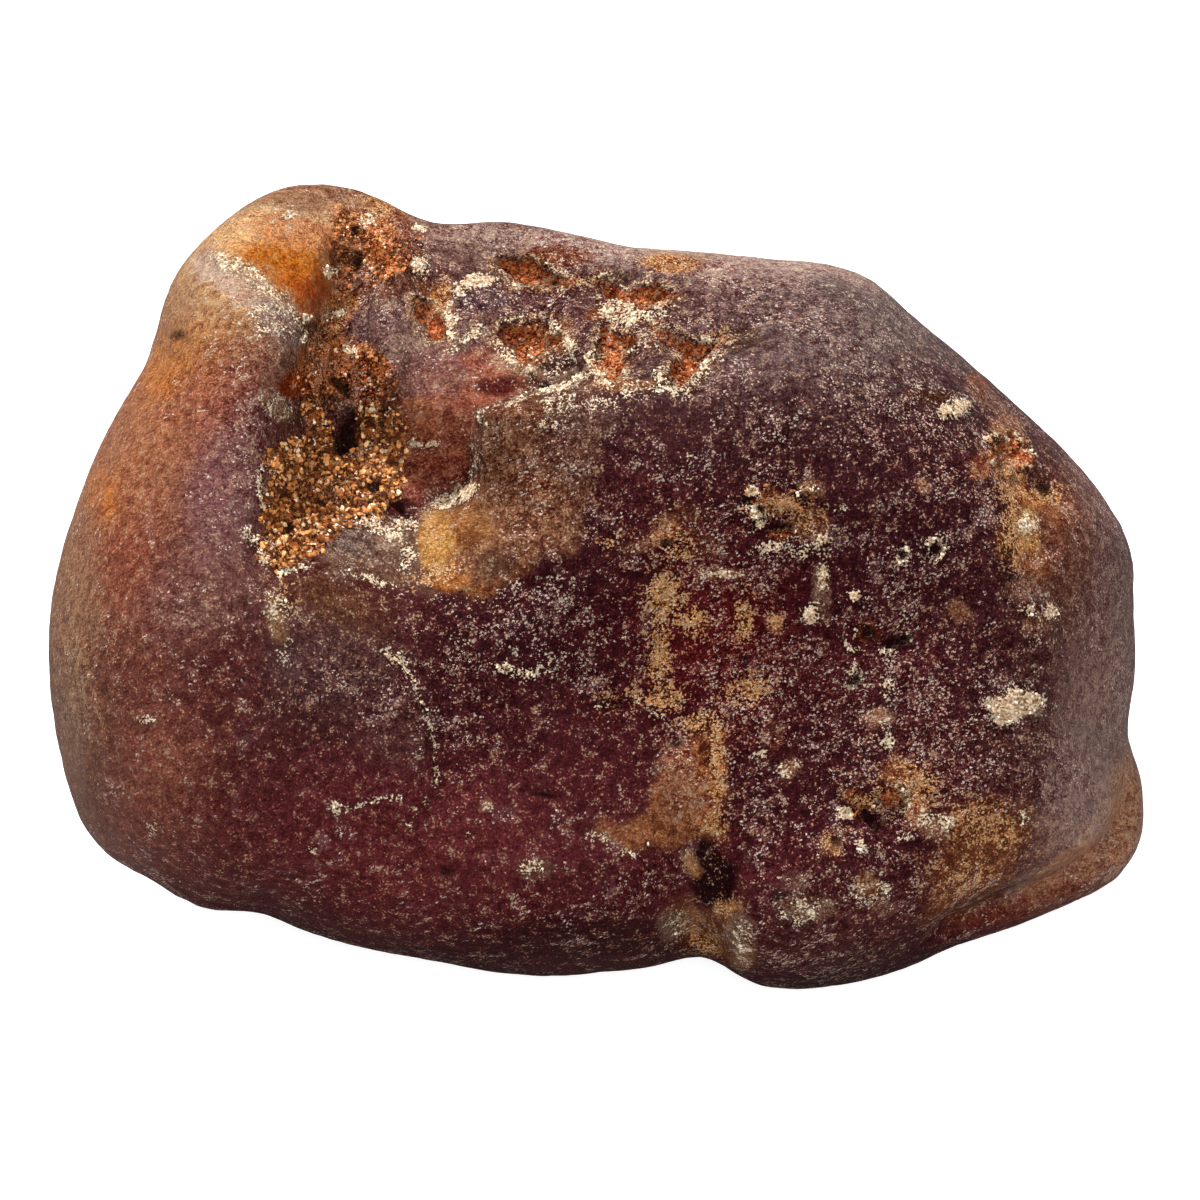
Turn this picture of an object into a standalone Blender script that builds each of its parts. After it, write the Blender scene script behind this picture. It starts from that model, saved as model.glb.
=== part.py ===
"""A rough hessonite garnet: one water-worn stone, standing on a small worn flat.

The stone is shaped in its own face frame, in millimetres: x to the right, y up the broad front
face, z out of that face. The outline lies in the z = 0 plane. Front and back are domes over that
outline, cut by worn facets and then marked by swells, steps, grooves and pits. At the end the
face is leaned back, the stone is cut flat where it rests, and the origin goes under its middle.
"""

import math

import bmesh
import bpy
import numpy as np
from mathutils import Matrix, Vector, noise

MM = 0.001

# Driving dimensions, in millimetres and degrees.
LEAN_DEG = 30.0  # the broad face leans back this far from upright
FRONT_DEPTH = 10.0  # from the outline's plane to the top of the front dome
BACK_DEPTH = 10.4  # and to the top of the back dome
FRONT_ROUNDNESS = 3.2  # 2 is an ellipse, and more is a fuller shoulder
BACK_ROUNDNESS = 2.5
REST_CUT = -11.0  # height of the resting flat, measured from the outline's middle
RIM_FADE = 0.08  # share of the radius over which relief dies out towards the outline
LEAST_OF_DOME = 0.3  # no facet or crevice cuts deeper than this share of the dome's height
UNDULATION = 0.12  # height of the soft waves that water leaves
UNDULATION_LENGTH = 4.5

# Mesh: edge lengths in millimetres, away from the worked area and in it.
COARSE_EDGE = 1.9
BALL_SUBDIVISIONS = 5
SPLIT_PASSES = 3

# The outline seen square to the face, anticlockwise from the right-hand end.
OUTLINE = (
    (16.65, -0.40), (16.60, 1.15), (15.80, 2.75),  # right end
    (12.85, 5.85), (10.10, 8.25), (8.25, 9.65),  # long slope to the top
    (4.95, 10.20), (1.35, 10.55), (-0.85, 11.00), (-2.90, 11.35), (-4.85, 11.30),  # top edge
    (-5.95, 11.65), (-6.95, 12.15), (-8.65, 12.50), (-10.40, 12.20), (-12.60, 10.30),  # knob
    (-13.40, 8.90), (-13.70, 7.90), (-14.20, 6.60), (-17.00, -1.95), (-16.90, -3.80),  # left end
    (-15.65, -7.80), (-13.40, -9.30), (-12.60, -9.80), (-11.60, -10.10),  # lower left lobe
    (-10.60, -10.00), (-6.40, -11.40), (-4.15, -11.80), (0.10, -11.95), (1.70, -11.80),
    (3.00, -11.50), (3.80, -11.65), (4.55, -12.15), (5.90, -12.45),  # notch and lower lobe
    (9.90, -11.70), (11.20, -11.15), (14.35, -10.00), (15.95, -9.20),
    (16.85, -8.00), (17.00, -6.60), (16.85, -5.60), (16.45, -4.70), (16.65, -3.20),  # foot
)

# Worn facets: z = height + slope_x * x + slope_y * y. Past its left and right ends a facet turns
# up and runs out, and the last number is how softly it meets its neighbours.
# name, height, slope_x, slope_y, left end, right end, softness
FRONT_FACETS = (
    ("broad face", 7.6, 0.00, 0.06, -20.0, 20.0, 1.2),
    ("top plateau", 15.2, 0.10, -1.22, -5.6, 20.0, 0.8),
    ("top of the left lobe", 11.5, -0.50, -1.20, -20.0, -7.2, 1.2),
    ("right flank", 30.5, -1.65, 0.00, -20.0, 20.0, 1.6),
)
BACK_FACETS = (
    ("back face", 9.2, 0.04, -0.05, -20.0, 20.0, 1.6),
    ("back left", 17.5, 0.85, 0.15, -20.0, 20.0, 1.8),
    ("back right", 18.5, -0.80, 0.25, -20.0, 20.0, 1.8),
    ("back crown", 15.5, 0.10, -0.95, -20.0, 20.0, 1.6),
)
FACET_RUNOUT = 1.1  # how steeply a facet turns up past its ends

# Swells and hollows of the front: name, centre, radii, turn in degrees, rise, steepness of the side.
FRONT_SWELLS = (
    ("left lobe", (-11.6, 0.6), (3.2, 8.6), 4, 0.8, 1.2),
    ("knob", (-9.6, 10.0), (2.6, 2.0), -10, 1.0, 1.4),
    ("shoulder beside the knob", (-6.1, 10.6), (1.4, 1.4), 0, 0.6, 1.4),
    ("scoop in the knob", (-9.3, 9.5), (1.7, 1.1), -40, -0.6, 1.5),
    ("recess left of the block", (-5.2, 4.6), (2.0, 3.1), 8, -1.6, 1.6),
    ("ledge under the recess", (-6.0, 2.6), (3.4, 1.9), -12, -1.8, 1.5),
    ("amber bulge on the ledge", (-4.0, 1.2), (2.1, 1.2), -20, 1.1, 1.5),
    ("main block", (3.0, 3.0), (7.0, 3.4), 0, 0.5, 2.0),
    ("lower left mass", (-8.2, -4.6), (5.4, 4.4), -10, 0.6, 1.3),
    ("lower right lobe", (7.0, -9.6), (3.4, 2.4), 0, 0.7, 1.5),
    ("hollow left of the lower lobe", (3.3, -9.8), (1.3, 2.6), 8, -1.1, 1.4),
    ("dip in the broad face", (1.0, -3.0), (4.0, 3.0), 20, -0.35, 1.2),
)

# Steps: name, route with the high ground on its left, rise, how far it reaches back, half width.
FRONT_STEPS = (
    ("left edge of the block", ((-4.9, 2.0), (-4.2, 2.8), (-3.7, 3.5), (-3.8, 4.4),
                                (-3.6, 5.5), (-2.3, 5.8), (-1.1, 6.2), (0.2, 6.7)), -1.3, 3.0, 0.28),
    ("front edge of the ledge", ((-9.0, 1.2), (-7.6, 0.7), (-6.0, 0.2), (-4.5, -0.3),
                                 (-3.0, -0.5), (-1.0, -0.4)), -0.7, 2.4, 0.40),
    ("old crack", ((-8.2, -0.4), (-6.3, -1.9), (-5.7, -2.9), (-5.1, -4.0), (-4.9, -5.4),
                   (-5.2, -6.1), (-6.1, -6.7), (-7.2, -6.9)), -0.40, 2.2, 0.24),
    ("edge over the foot", ((17.0, -4.4), (16.4, -5.6), (16.2, -6.8), (15.4, -8.0), (13.9, -8.9),
                            (12.2, -9.4), (10.7, -10.2), (10.0, -11.3)), -2.6, 3.0, 0.30),
)

# Grooves: name, route, half width along it, depth along it, steepness of the side.
FRONT_GROOVES = (
    ("crevice", ((-7.0, 12.0), (-7.3, 10.4), (-7.7, 9.0), (-7.9, 7.4), (-7.8, 5.9),
                 (-7.8, 4.6), (-8.5, 3.1), (-9.6, 1.3)),
     (0.7, 0.8, 0.9, 1.2, 1.5, 1.75, 1.5, 0.8), (0.5, 1.0, 1.4, 2.2, 2.9, 3.0, 2.1, 0.7), 2.4),
    ("crevice floor slot", ((-7.4, 9.8), (-7.7, 8.2), (-8.0, 6.6), (-7.8, 4.8)),
     (0.60, 0.65, 0.70, 0.75), (0.3, 0.5, 1.0, 1.3), 1.6),
    ("slit under the block", ((-6.4, 2.8), (-5.9, 2.3), (-5.3, 2.2)), (0.3, 0.35, 0.3),
     (0.3, 0.8, 0.3), 1.6),
    ("crack below the pits", ((-3.0, 5.9), (-1.6, 6.4), (-0.4, 6.9)), (0.35, 0.4, 0.35),
     (0.3, 0.7, 0.4), 1.6),
    ("crack right of the pits", ((3.1, 7.2), (4.1, 7.7), (5.3, 8.1)), (0.3, 0.35, 0.25),
     (0.5, 0.6, 0.3), 1.6),
    ("bottom notch", ((3.1, -11.7), (3.2, -10.7), (3.6, -9.6), (3.9, -8.8), (3.2, -8.0)),
     (0.9, 0.8, 0.7, 0.7, 0.6), (1.0, 0.9, 0.6, 0.5, 0.3), 1.5),
    ("cavity on the right edge", ((12.4, 4.6), (13.1, 3.4), (13.5, 2.0), (13.4, 0.7)),
     (0.6, 0.75, 0.7, 0.5), (0.4, 0.8, 0.6, 0.3), 1.5),
)

# Pits: name, centre, radii, turn in degrees, depth.
FRONT_PITS = (
    ("plateau pit 1", (-2.0, 7.7), (1.00, 0.68), 20, 0.85),
    ("plateau pit 2", (-2.2, 9.8), (1.05, 0.42), -20, 0.65),
    ("plateau pit 3", (1.1, 9.2), (1.15, 0.40), -6, 0.90),
    ("plateau pit 4", (0.7, 7.8), (0.50, 0.55), 0, 0.50),
    ("plateau pit 5", (0.9, 6.8), (0.75, 0.55), -10, 0.65),
    ("plateau pit 6", (2.9, 7.0), (0.90, 0.62), -45, 0.80),
    ("plateau pit 7", (2.4, 10.1), (0.95, 0.35), 0, 0.40),
    ("chalky notch", (-4.8, 8.3), (0.55, 0.95), 20, 0.50),
    ("block pit 1", (5.6, 2.1), (0.95, 0.40), 10, 0.35),
    ("block pit 2", (8.5, -1.4), (0.45, 0.25), 0, 0.35),
    ("block pit 3", (9.3, -1.7), (0.50, 0.22), 8, 0.40),
    ("lower pit 1", (8.5, -7.0), (0.65, 0.35), -15, 0.50),
    ("lower pit 2", (9.3, -6.6), (0.35, 0.35), 0, 0.40),
    ("lower pit 3", (12.2, -7.4), (0.45, 0.40), 0, 0.40),
    ("right edge hole", (13.8, 3.0), (0.55, 0.40), -20, 0.55),
)

# Swells and hollows of the back, listed as those of the front.
BACK_SWELLS = (
    ("back hollow", (-4.0, 2.0), (4.2, 3.0), 25, -0.9, 1.3),
    ("back swell", (6.5, -2.0), (4.5, 4.0), 0, 0.7, 1.2),
    ("back lower hollow", (8.5, 5.0), (2.6, 1.8), -30, -0.6, 1.4),
    ("back left swell", (-10.5, -3.0), (2.8, 4.5), 10, 0.6, 1.3),
)
BACK_PITS = (
    ("back pit 1", (-2.4, 4.6), (1.10, 0.60), 30, 0.60),
    ("back pit 2", (0.2, 5.4), (0.70, 0.50), 0, 0.45),
    ("back pit 3", (5.5, 3.4), (1.20, 0.50), -35, 0.50),
    ("back pit 4", (-7.8, -1.0), (0.60, 0.90), 10, 0.45),
)

# Where the mesh is finer, front only: centre, radius, edge length.
FINE_ZONES = (
    ((-7.9, 7.4), 4.4, 0.74),
    ((-8.2, 3.6), 2.8, 0.74),
    ((-4.6, 4.2), 2.4, 0.74),
    ((0.2, 8.0), 4.4, 0.62),
    ((-7.3, 10.0), 2.0, 0.42),
    ((-5.6, -4.2), 2.6, 0.70),
    ((13.6, -8.0), 3.8, 0.95),
    ((3.4, -9.6), 2.0, 0.90),
    ((8.9, -6.9), 1.4, 0.62),
    ((8.9, -1.5), 1.2, 0.62),
    ((5.6, 2.1), 1.4, 0.62),
    ((13.4, 2.4), 1.8, 0.80),
)


def outline_radius(angles):
    """The outline's distance from the middle at each polar angle, as one smooth closed curve."""
    corners = np.array(OUTLINE)
    knots = np.arctan2(corners[:, 1], corners[:, 0]) % math.tau
    radii = np.hypot(corners[:, 0], corners[:, 1])
    order = np.argsort(knots)
    knots, radii = knots[order], radii[order]
    wrapped = np.concatenate([knots[-2:] - math.tau, knots, knots[:2] + math.tau])
    values = np.concatenate([radii[-2:], radii, radii[:2]])
    slopes = (values[2:] - values[:-2]) / (wrapped[2:] - wrapped[:-2])
    angles = angles % math.tau
    after = np.clip(np.searchsorted(wrapped[1:-1], angles, side="right"), 1, len(slopes) - 1)
    start, end = wrapped[after], wrapped[after + 1]
    span = end - start
    share = (angles - start) / span
    rising = share * share * (3 - 2 * share)
    leaving = share * (1 - share) ** 2
    arriving = share * share * (share - 1)
    return (
        values[after] * (1 - rising)
        + values[after + 1] * rising
        + span * (slopes[after - 1] * leaving + slopes[after] * arriving)
    )


def soft_least(first, second, softness):
    """The lesser of two heights, rounded where they cross."""
    blend = np.clip(0.5 + 0.5 * (second - first) / softness, 0, 1)
    return second * (1 - blend) + first * blend - softness * blend * (1 - blend)


def smooth_step(low, high, value):
    share = np.clip((value - low) / (high - low), 0, 1)
    return share * share * (3 - 2 * share)


def dab(x, y, centre, radii, turn_deg, steepness):
    """1 at the centre, a half at the radii and 0 far out; a steeper dab has a flatter top."""
    turn = math.radians(turn_deg)
    across = (x - centre[0]) * math.cos(turn) + (y - centre[1]) * math.sin(turn)
    along = (y - centre[1]) * math.cos(turn) - (x - centre[0]) * math.sin(turn)
    squared = (across / radii[0]) ** 2 + (along / radii[1]) ** 2
    return 1 / (1 + squared**steepness)


def nearest_on(route, x, y):
    """Distance to a route, the place along it in points, and the signed distance to its left."""
    nearest = np.full(x.shape, np.inf)
    place = np.zeros(x.shape)
    left = np.zeros(x.shape)
    for index, (start, end) in enumerate(zip(route, route[1:])):
        run = np.array(end) - np.array(start)
        share = ((x - start[0]) * run[0] + (y - start[1]) * run[1]) / (run @ run)
        share = np.clip(share, 0, 1)
        gap_x = x - start[0] - share * run[0]
        gap_y = y - start[1] - share * run[1]
        distance = np.hypot(gap_x, gap_y)
        side = np.sign(run[0] * gap_y - run[1] * gap_x)
        closer = distance < nearest
        nearest = np.where(closer, distance, nearest)
        place = np.where(closer, index + share, place)
        left = np.where(closer, side * distance, left)
    return nearest, place, left


def groove(x, y, route, half_widths, depths, steepness):
    """A channel along a route, with its own width and depth at each point of it."""
    distance, place, _ = nearest_on(route, x, y)
    points = np.arange(len(route))
    width = np.interp(place, points, half_widths)
    depth = np.interp(place, points, depths)
    return -depth / (1 + (distance / width) ** (2 * steepness))


def step(x, y, route, rise, reach, half_width):
    """Ground raised on the left of a route, most at the route and less with distance from it."""
    distance, place, left = nearest_on(route, x, y)
    ends = smooth_step(0, 0.8, place) * smooth_step(0, 0.8, len(route) - 1 - place)
    return rise * ends * smooth_step(-half_width, half_width, left) * np.exp(-distance / reach)


def facets_cut(height, x, y, facets):
    for _, level, slope_x, slope_y, left_end, right_end, softness in facets:
        past_ends = np.maximum(left_end - x, 0) + np.maximum(x - right_end, 0)
        facet = level + slope_x * x + slope_y * y + FACET_RUNOUT * past_ends
        height = soft_least(height, facet, softness)
    return height


def front_relief(x, y):
    height = np.zeros(x.shape)
    for _, centre, radii, turn_deg, rise, steepness in FRONT_SWELLS:
        height += rise * dab(x, y, centre, radii, turn_deg, steepness)
    for _, route, rise, reach, half_width in FRONT_STEPS:
        height += step(x, y, route, rise, reach, half_width)
    for _, route, half_widths, depths, steepness in FRONT_GROOVES:
        height += groove(x, y, route, half_widths, depths, steepness)
    for _, centre, radii, turn_deg, depth in FRONT_PITS:
        height -= depth * dab(x, y, centre, radii, turn_deg, 2.2)
    return height


def back_relief(x, y):
    height = np.zeros(x.shape)
    for _, centre, radii, turn_deg, rise, steepness in BACK_SWELLS:
        height += rise * dab(x, y, centre, radii, turn_deg, steepness)
    for _, centre, radii, turn_deg, depth in BACK_PITS:
        height -= depth * dab(x, y, centre, radii, turn_deg, 2.0)
    return height


def mould(directions):
    """Each unit direction of a ball taken to its place on the stone, in millimetres."""
    share = np.minimum(np.hypot(directions[:, 0], directions[:, 1]), 1)
    angle = np.arctan2(directions[:, 1], directions[:, 0])
    radius = share * outline_radius(angle)
    x, y = radius * np.cos(angle), radius * np.sin(angle)
    fade = smooth_step(0, RIM_FADE, 1 - share)
    front_dome = FRONT_DEPTH * (1 - share**FRONT_ROUNDNESS) ** 0.5
    front = facets_cut(front_dome, x, y, FRONT_FACETS) + fade * front_relief(x, y)
    front = np.maximum(front, LEAST_OF_DOME * front_dome)
    back = BACK_DEPTH * (1 - share**BACK_ROUNDNESS) ** 0.5
    back = facets_cut(back, x, y, BACK_FACETS) + fade * back_relief(x, y)
    z = np.where(directions[:, 2] >= 0, front, -back)
    return np.stack([x, y, z], axis=1)


def vertex_directions(ball):
    directions = np.array([vertex.co for vertex in ball.verts])
    return directions / np.linalg.norm(directions, axis=1, keepdims=True)


def edge_limits(middles):
    """The longest edge allowed at each place on the stone."""
    limits = np.full(len(middles), COARSE_EDGE)
    for centre, radius, length in FINE_ZONES:
        inside = np.hypot(middles[:, 0] - centre[0], middles[:, 1] - centre[1]) < radius
        limits = np.where(inside & (middles[:, 2] > 0), np.minimum(limits, length), limits)
    return limits


def split_ball():
    """A ball of triangles, split until no edge is too long once it is moulded."""
    ball = bmesh.new()
    bmesh.ops.create_icosphere(ball, subdivisions=BALL_SUBDIVISIONS, radius=1.0)
    for _ in range(SPLIT_PASSES):
        places = mould(vertex_directions(ball))
        ball.verts.index_update()
        ball.edges.ensure_lookup_table()
        ends = np.array([[vertex.index for vertex in edge.verts] for edge in ball.edges])
        first, second = places[ends[:, 0]], places[ends[:, 1]]
        lengths = np.linalg.norm(first - second, axis=1)
        too_long = np.flatnonzero(lengths > edge_limits((first + second) / 2))
        if not len(too_long):
            break
        edges = [ball.edges[index] for index in too_long]
        bmesh.ops.subdivide_edges(ball, edges=edges, cuts=1, use_grid_fill=True)
        bmesh.ops.triangulate(ball, faces=ball.faces[:])
        for vertex in ball.verts:
            vertex.co.normalize()
    return ball


def undulate(stone):
    """Soft waves over the whole stone, along its normals."""
    stone.normal_update()
    waves = [noise.noise(vertex.co / UNDULATION_LENGTH) for vertex in stone.verts]
    for vertex, wave in zip(stone.verts, waves):
        vertex.co += vertex.normal * (wave * UNDULATION)


def stand_up(stone):
    """Leans the face back, cuts the flat that the stone rests on and centres it over the origin."""
    lean = Matrix.Rotation(math.radians(90 - LEAN_DEG), 4, "X")
    bmesh.ops.transform(stone, matrix=lean, verts=stone.verts)
    cut = bmesh.ops.bisect_plane(
        stone,
        geom=stone.verts[:] + stone.edges[:] + stone.faces[:],
        plane_co=(0, 0, REST_CUT),
        plane_no=(0, 0, 1),
        dist=1e-4,
        clear_inner=True,
    )
    rim = [part for part in cut["geom_cut"] if isinstance(part, bmesh.types.BMEdge)]
    bmesh.ops.contextual_create(stone, geom=rim)
    bmesh.ops.triangulate(stone, faces=stone.faces[:])
    places = np.array([vertex.co for vertex in stone.verts])
    low, high = places.min(axis=0), places.max(axis=0)
    middle = Vector(((low[0] + high[0]) / 2, (low[1] + high[1]) / 2, low[2]))
    bmesh.ops.translate(stone, vec=-middle, verts=stone.verts)
    bmesh.ops.scale(stone, vec=(MM, MM, MM), verts=stone.verts)


def stone_material():
    material = bpy.data.materials.new("hessonite")
    material.use_nodes = True
    shader = material.node_tree.nodes["Principled BSDF"]
    shader.inputs["Base Color"].default_value = (0.105, 0.036, 0.034, 1)
    shader.inputs["Roughness"].default_value = 0.55
    shader.inputs["Metallic"].default_value = 0.0
    return material


def make_stone(collection):
    stone = split_ball()
    for vertex, place in zip(stone.verts, mould(vertex_directions(stone))):
        vertex.co = place
    undulate(stone)
    stand_up(stone)
    mesh = bpy.data.meshes.new("stone")
    stone.to_mesh(mesh)
    stone.free()
    mesh.materials.append(stone_material())
    mesh.shade_smooth()
    collection.objects.link(bpy.data.objects.new("stone", mesh))


def main():
    for thing in list(bpy.data.objects):
        bpy.data.objects.remove(thing)
    collection = bpy.data.collections.new("rough_hessonite_garnet")
    bpy.context.scene.collection.children.link(collection)
    make_stone(collection)


main()
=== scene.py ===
"""Looks of the rough hessonite garnet: its worn skin, the grit in its crevice, the floor and the light.

Places on the front are given on a sheet 1200 units square, held square to the broad face: x runs
right, y runs down, and a unit is 0.031 mm. A place on the sheet means what lies straight behind it.
"""

import math
import random

import bmesh
import bpy
import numpy as np
from mathutils import Matrix, Vector, noise


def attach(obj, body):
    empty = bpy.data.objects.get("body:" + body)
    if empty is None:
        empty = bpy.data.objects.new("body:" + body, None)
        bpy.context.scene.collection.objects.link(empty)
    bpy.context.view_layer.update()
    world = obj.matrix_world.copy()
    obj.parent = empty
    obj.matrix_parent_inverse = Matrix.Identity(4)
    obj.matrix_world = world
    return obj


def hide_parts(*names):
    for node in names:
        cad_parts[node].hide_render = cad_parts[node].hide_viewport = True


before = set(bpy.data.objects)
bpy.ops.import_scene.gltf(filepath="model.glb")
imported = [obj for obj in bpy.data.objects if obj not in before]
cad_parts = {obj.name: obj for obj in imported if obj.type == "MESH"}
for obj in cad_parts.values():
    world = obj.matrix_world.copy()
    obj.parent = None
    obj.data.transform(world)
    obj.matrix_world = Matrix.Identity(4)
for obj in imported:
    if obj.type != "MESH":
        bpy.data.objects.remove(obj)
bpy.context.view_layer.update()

MM = 0.001

# How the sheet lies over the stone.
STONE_LENGTH = 0.034
STONE_ON_SHEET = 1094
SHEET_SIDE = 1200
SHEET_UNIT = STONE_LENGTH / STONE_ON_SHEET
FACE_CENTRE = Vector((-0.000002, 0.000427, 0.011))
SIGHT_OFFSET = (0.000124, -0.000404)
LEAN = math.radians(30)
ACROSS = Vector((1, 0, 0))
UP_FACE = Vector((0, math.sin(LEAN), math.cos(LEAN)))
OUT_OF_FACE = Vector((0, -math.cos(LEAN), math.sin(LEAN)))
EYE_DISTANCE = 0.5

# ---------------------------------------------------------------- colours


def seen(red, green, blue):
    """A colour given as it looks on a screen, as the linear values that a shader takes."""
    return tuple(((c / 255 + 0.055) / 1.055) ** 2.4 for c in (red, green, blue))


PLUM = seen(72, 23, 34)
DARK_PLUM = seen(44, 14, 18)
BURGUNDY = seen(116, 50, 54)
MAROON = seen(92, 40, 36)
GREY_PLUM = seen(104, 70, 66)
MAUVE_GREY = seen(138, 132, 124)
GULLY = seen(210, 138, 80)
GREY_TAN = seen(126, 98, 78)
AMBER_BROWN = seen(184, 132, 72)
KNOB_TAN = seen(255, 212, 140)
FOOT_BROWN = seen(192, 162, 138)
TERRACOTTA = seen(160, 76, 46)
SALMON = seen(184, 124, 84)
AMBER = seen(208, 124, 28)
DEEP_AMBER = seen(196, 92, 14)
TAN = seen(164, 120, 82)
BROWN_TAN = seen(136, 84, 52)
OLIVE = seen(144, 104, 72)
DARK_RED = seen(176, 108, 80)
HAZE = seen(134, 96, 98)
DUSTY = seen(206, 182, 162)
# Near black: painted shade in the holes.
HOLE_SHADE = seen(22, 10, 8)
FLECK = seen(255, 231, 212)

# Rows of tones, from the dark gaps between grains, darkened as painted shade, to the palest grains: place in
# the row, colour.
# The first row, for the pale flecks, is partly pale grains and partly painted glints off the frosted facets.
FROST_TONES = ((0.0, seen(92, 34, 32)), (0.34, seen(162, 94, 82)), (0.56, seen(255, 202, 180)), (0.70, FLECK))
RUST_TONES = (
    (0.12, seen(70, 22, 10)), (0.34, seen(156, 66, 30)),
    (0.55, seen(214, 122, 66)), (0.78, seen(248, 196, 144)),
)
CLAY_TONES = (
    (0.20, seen(70, 34, 16)), (0.42, seen(158, 96, 46)),
    (0.66, seen(212, 148, 88)), (0.94, seen(255, 226, 184)),
)
GRIT_TONES = (
    (0.16, seen(44, 18, 8)), (0.36, seen(112, 62, 28)),
    (0.55, seen(166, 108, 60)), (0.80, seen(222, 174, 124)),
)
LIME_TONES = ((0.15, seen(130, 94, 66)), (0.38, seen(206, 172, 136)), (0.62, seen(250, 230, 200)))
# What the skin's own colour is multiplied by: painted shade, dark red in the gaps between grains, and nearly
# nothing on the grains.
GAP_SHADE_TINTS = ((0.0, (0.66, 0.02, 0.03)), (0.54, (1.0, 0.93, 0.99)))
# How much brighter than the skin the share of its colour in a fleck is.
BRIGHTER = (2.4, 2.4, 2.4)

# Grains of each kind: colour and share.
SAND = (
    (seen(226, 156, 90), 6), (seen(190, 118, 58), 6), (seen(146, 76, 30), 6), (seen(84, 36, 14), 7),
    (seen(246, 202, 148), 3), (seen(255, 238, 208), 1),
)
RUSTY_CRUMBS = (
    (seen(194, 114, 62), 4), (seen(154, 82, 38), 4), (seen(98, 48, 22), 5), (seen(220, 158, 106), 3),
    (seen(244, 214, 184), 1),
)
LIME_CRUMBS = (
    (seen(250, 232, 204), 4), (seen(226, 196, 158), 4), (seen(190, 152, 114), 3), (seen(255, 250, 240), 1),
)

# ---------------------------------------------------------------- marks on the sheet

# A spot is an ellipse: x and y of its middle, half its width, half its height and, where it is turned,
# its turn in degrees.

# Broad washes of body colour: name, spot, colour, strength.
WASHES = (
    ("left half", 150, 600, 125, 330, MAROON, 0.6),
    ("left lobe, salmon", 130, 455, 62, 124, 18, SALMON, 0.95),
    ("left lobe, terracotta", 222, 388, 42, 50, TERRACOTTA, 0.9),
    ("left lobe, lower terracotta", 132, 580, 36, 58, TERRACOTTA, 0.8),
    # The amber on the left lobe is partly the stone's own colour and partly painted glow of light shining
    # through its thin edges.
    ("left lobe, amber", 166, 372, 30, 22, -15, AMBER, 0.9),
    ("left lobe, amber above", 196, 334, 28, 22, -20, AMBER, 0.6),
    ("left lobe, amber below", 104, 496, 14, 20, AMBER, 0.85),
    # The mauve and grey beside and below the crevice are partly the stone's colour and partly painted sheen
    # on upward slopes.
    ("mauve beside the crevice", 232, 484, 38, 100, 10, seen(142, 102, 100), 0.9),
    ("grey below the crevice", 196, 596, 66, 46, -12, seen(140, 100, 88), 0.8),
    ("burgundy hollow", 234, 664, 40, 40, seen(94, 32, 36), 0.85),
    # Dark plum in the lower left hollow is painted shade.
    ("dark hollow", 306, 706, 60, 50, DARK_PLUM, 0.55),
    ("brown under the crevice", 338, 606, 46, 26, 28, seen(112, 72, 46), 0.95),
    ("grey by the seam", 316, 668, 46, 34, 20, seen(100, 78, 76), 0.8),
    ("lower left", 150, 776, 52, 66, seen(156, 98, 76), 0.85),
    # The pale tan of the left rim is partly the stone's colour and partly painted rim light along the edge.
    ("left rim", 72, 670, 24, 150, seen(176, 138, 100), 0.8),
    ("knob", 266, 246, 92, 64, -20, KNOB_TAN, 1.0),
    # The tan of the knob rim is partly the stone's colour and partly a painted highlight along its top.
    ("knob rim", 290, 196, 110, 13, TAN, 0.8),
    ("shoulder", 388, 212, 34, 14, 20, TAN, 0.85),
    ("right of the gully", 420, 262, 40, 26, GREY_PLUM, 0.7),
    ("block top", 410, 330, 84, 30, seen(188, 164, 142), 0.9),
    ("block clay", 420, 418, 26, 18, BROWN_TAN, 0.85),
    ("lower left burgundy", 420, 840, 180, 80, 8, seen(126, 56, 58), 0.75),
    # Dark plum along the bottom is painted shade on the underside.
    ("dark underside", 600, 940, 120, 22, DARK_PLUM, 0.7),
    ("middle burgundy", 715, 640, 66, 80, seen(114, 26, 30), 0.8),
    # The plateau's pale mauve grey is partly the stone's colour and partly painted sheen of the light on its
    # upward face.
    ("plateau", 800, 322, 186, 56, 3, MAUVE_GREY, 0.85),
    ("plateau, left", 600, 305, 160, 58, 3, GREY_PLUM, 0.85),
    # The near white of the top rim is a painted highlight along the upper edge.
    ("top rim", 740, 256, 260, 18, 5, seen(232, 216, 192), 0.8),
    ("right band", 1098, 660, 34, 200, seen(166, 138, 127), 0.9),
    ("right cavity side", 1064, 552, 30, 70, BROWN_TAN, 0.7),
    ("low right grey", 830, 940, 60, 40, GREY_PLUM, 0.45),
    ("foot", 1104, 822, 52, 62, FOOT_BROWN, 1.0),
    # The burgundy under the foot is partly the stone's colour and partly painted shade beneath the foot.
    ("under the foot", 1000, 918, 60, 12, -12, BURGUNDY, 0.8),
)

# The glossy window in the knob. Its amber is partly the stone's own colour and partly painted glow of light
# shining through the thin stone.
AMBER_WINDOW = (
    (236, 249), (260, 238), (290, 240), (320, 250), (333, 279), (330, 300), (316, 317), (302, 303),
    (284, 291), (263, 274), (239, 260),
)

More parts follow.
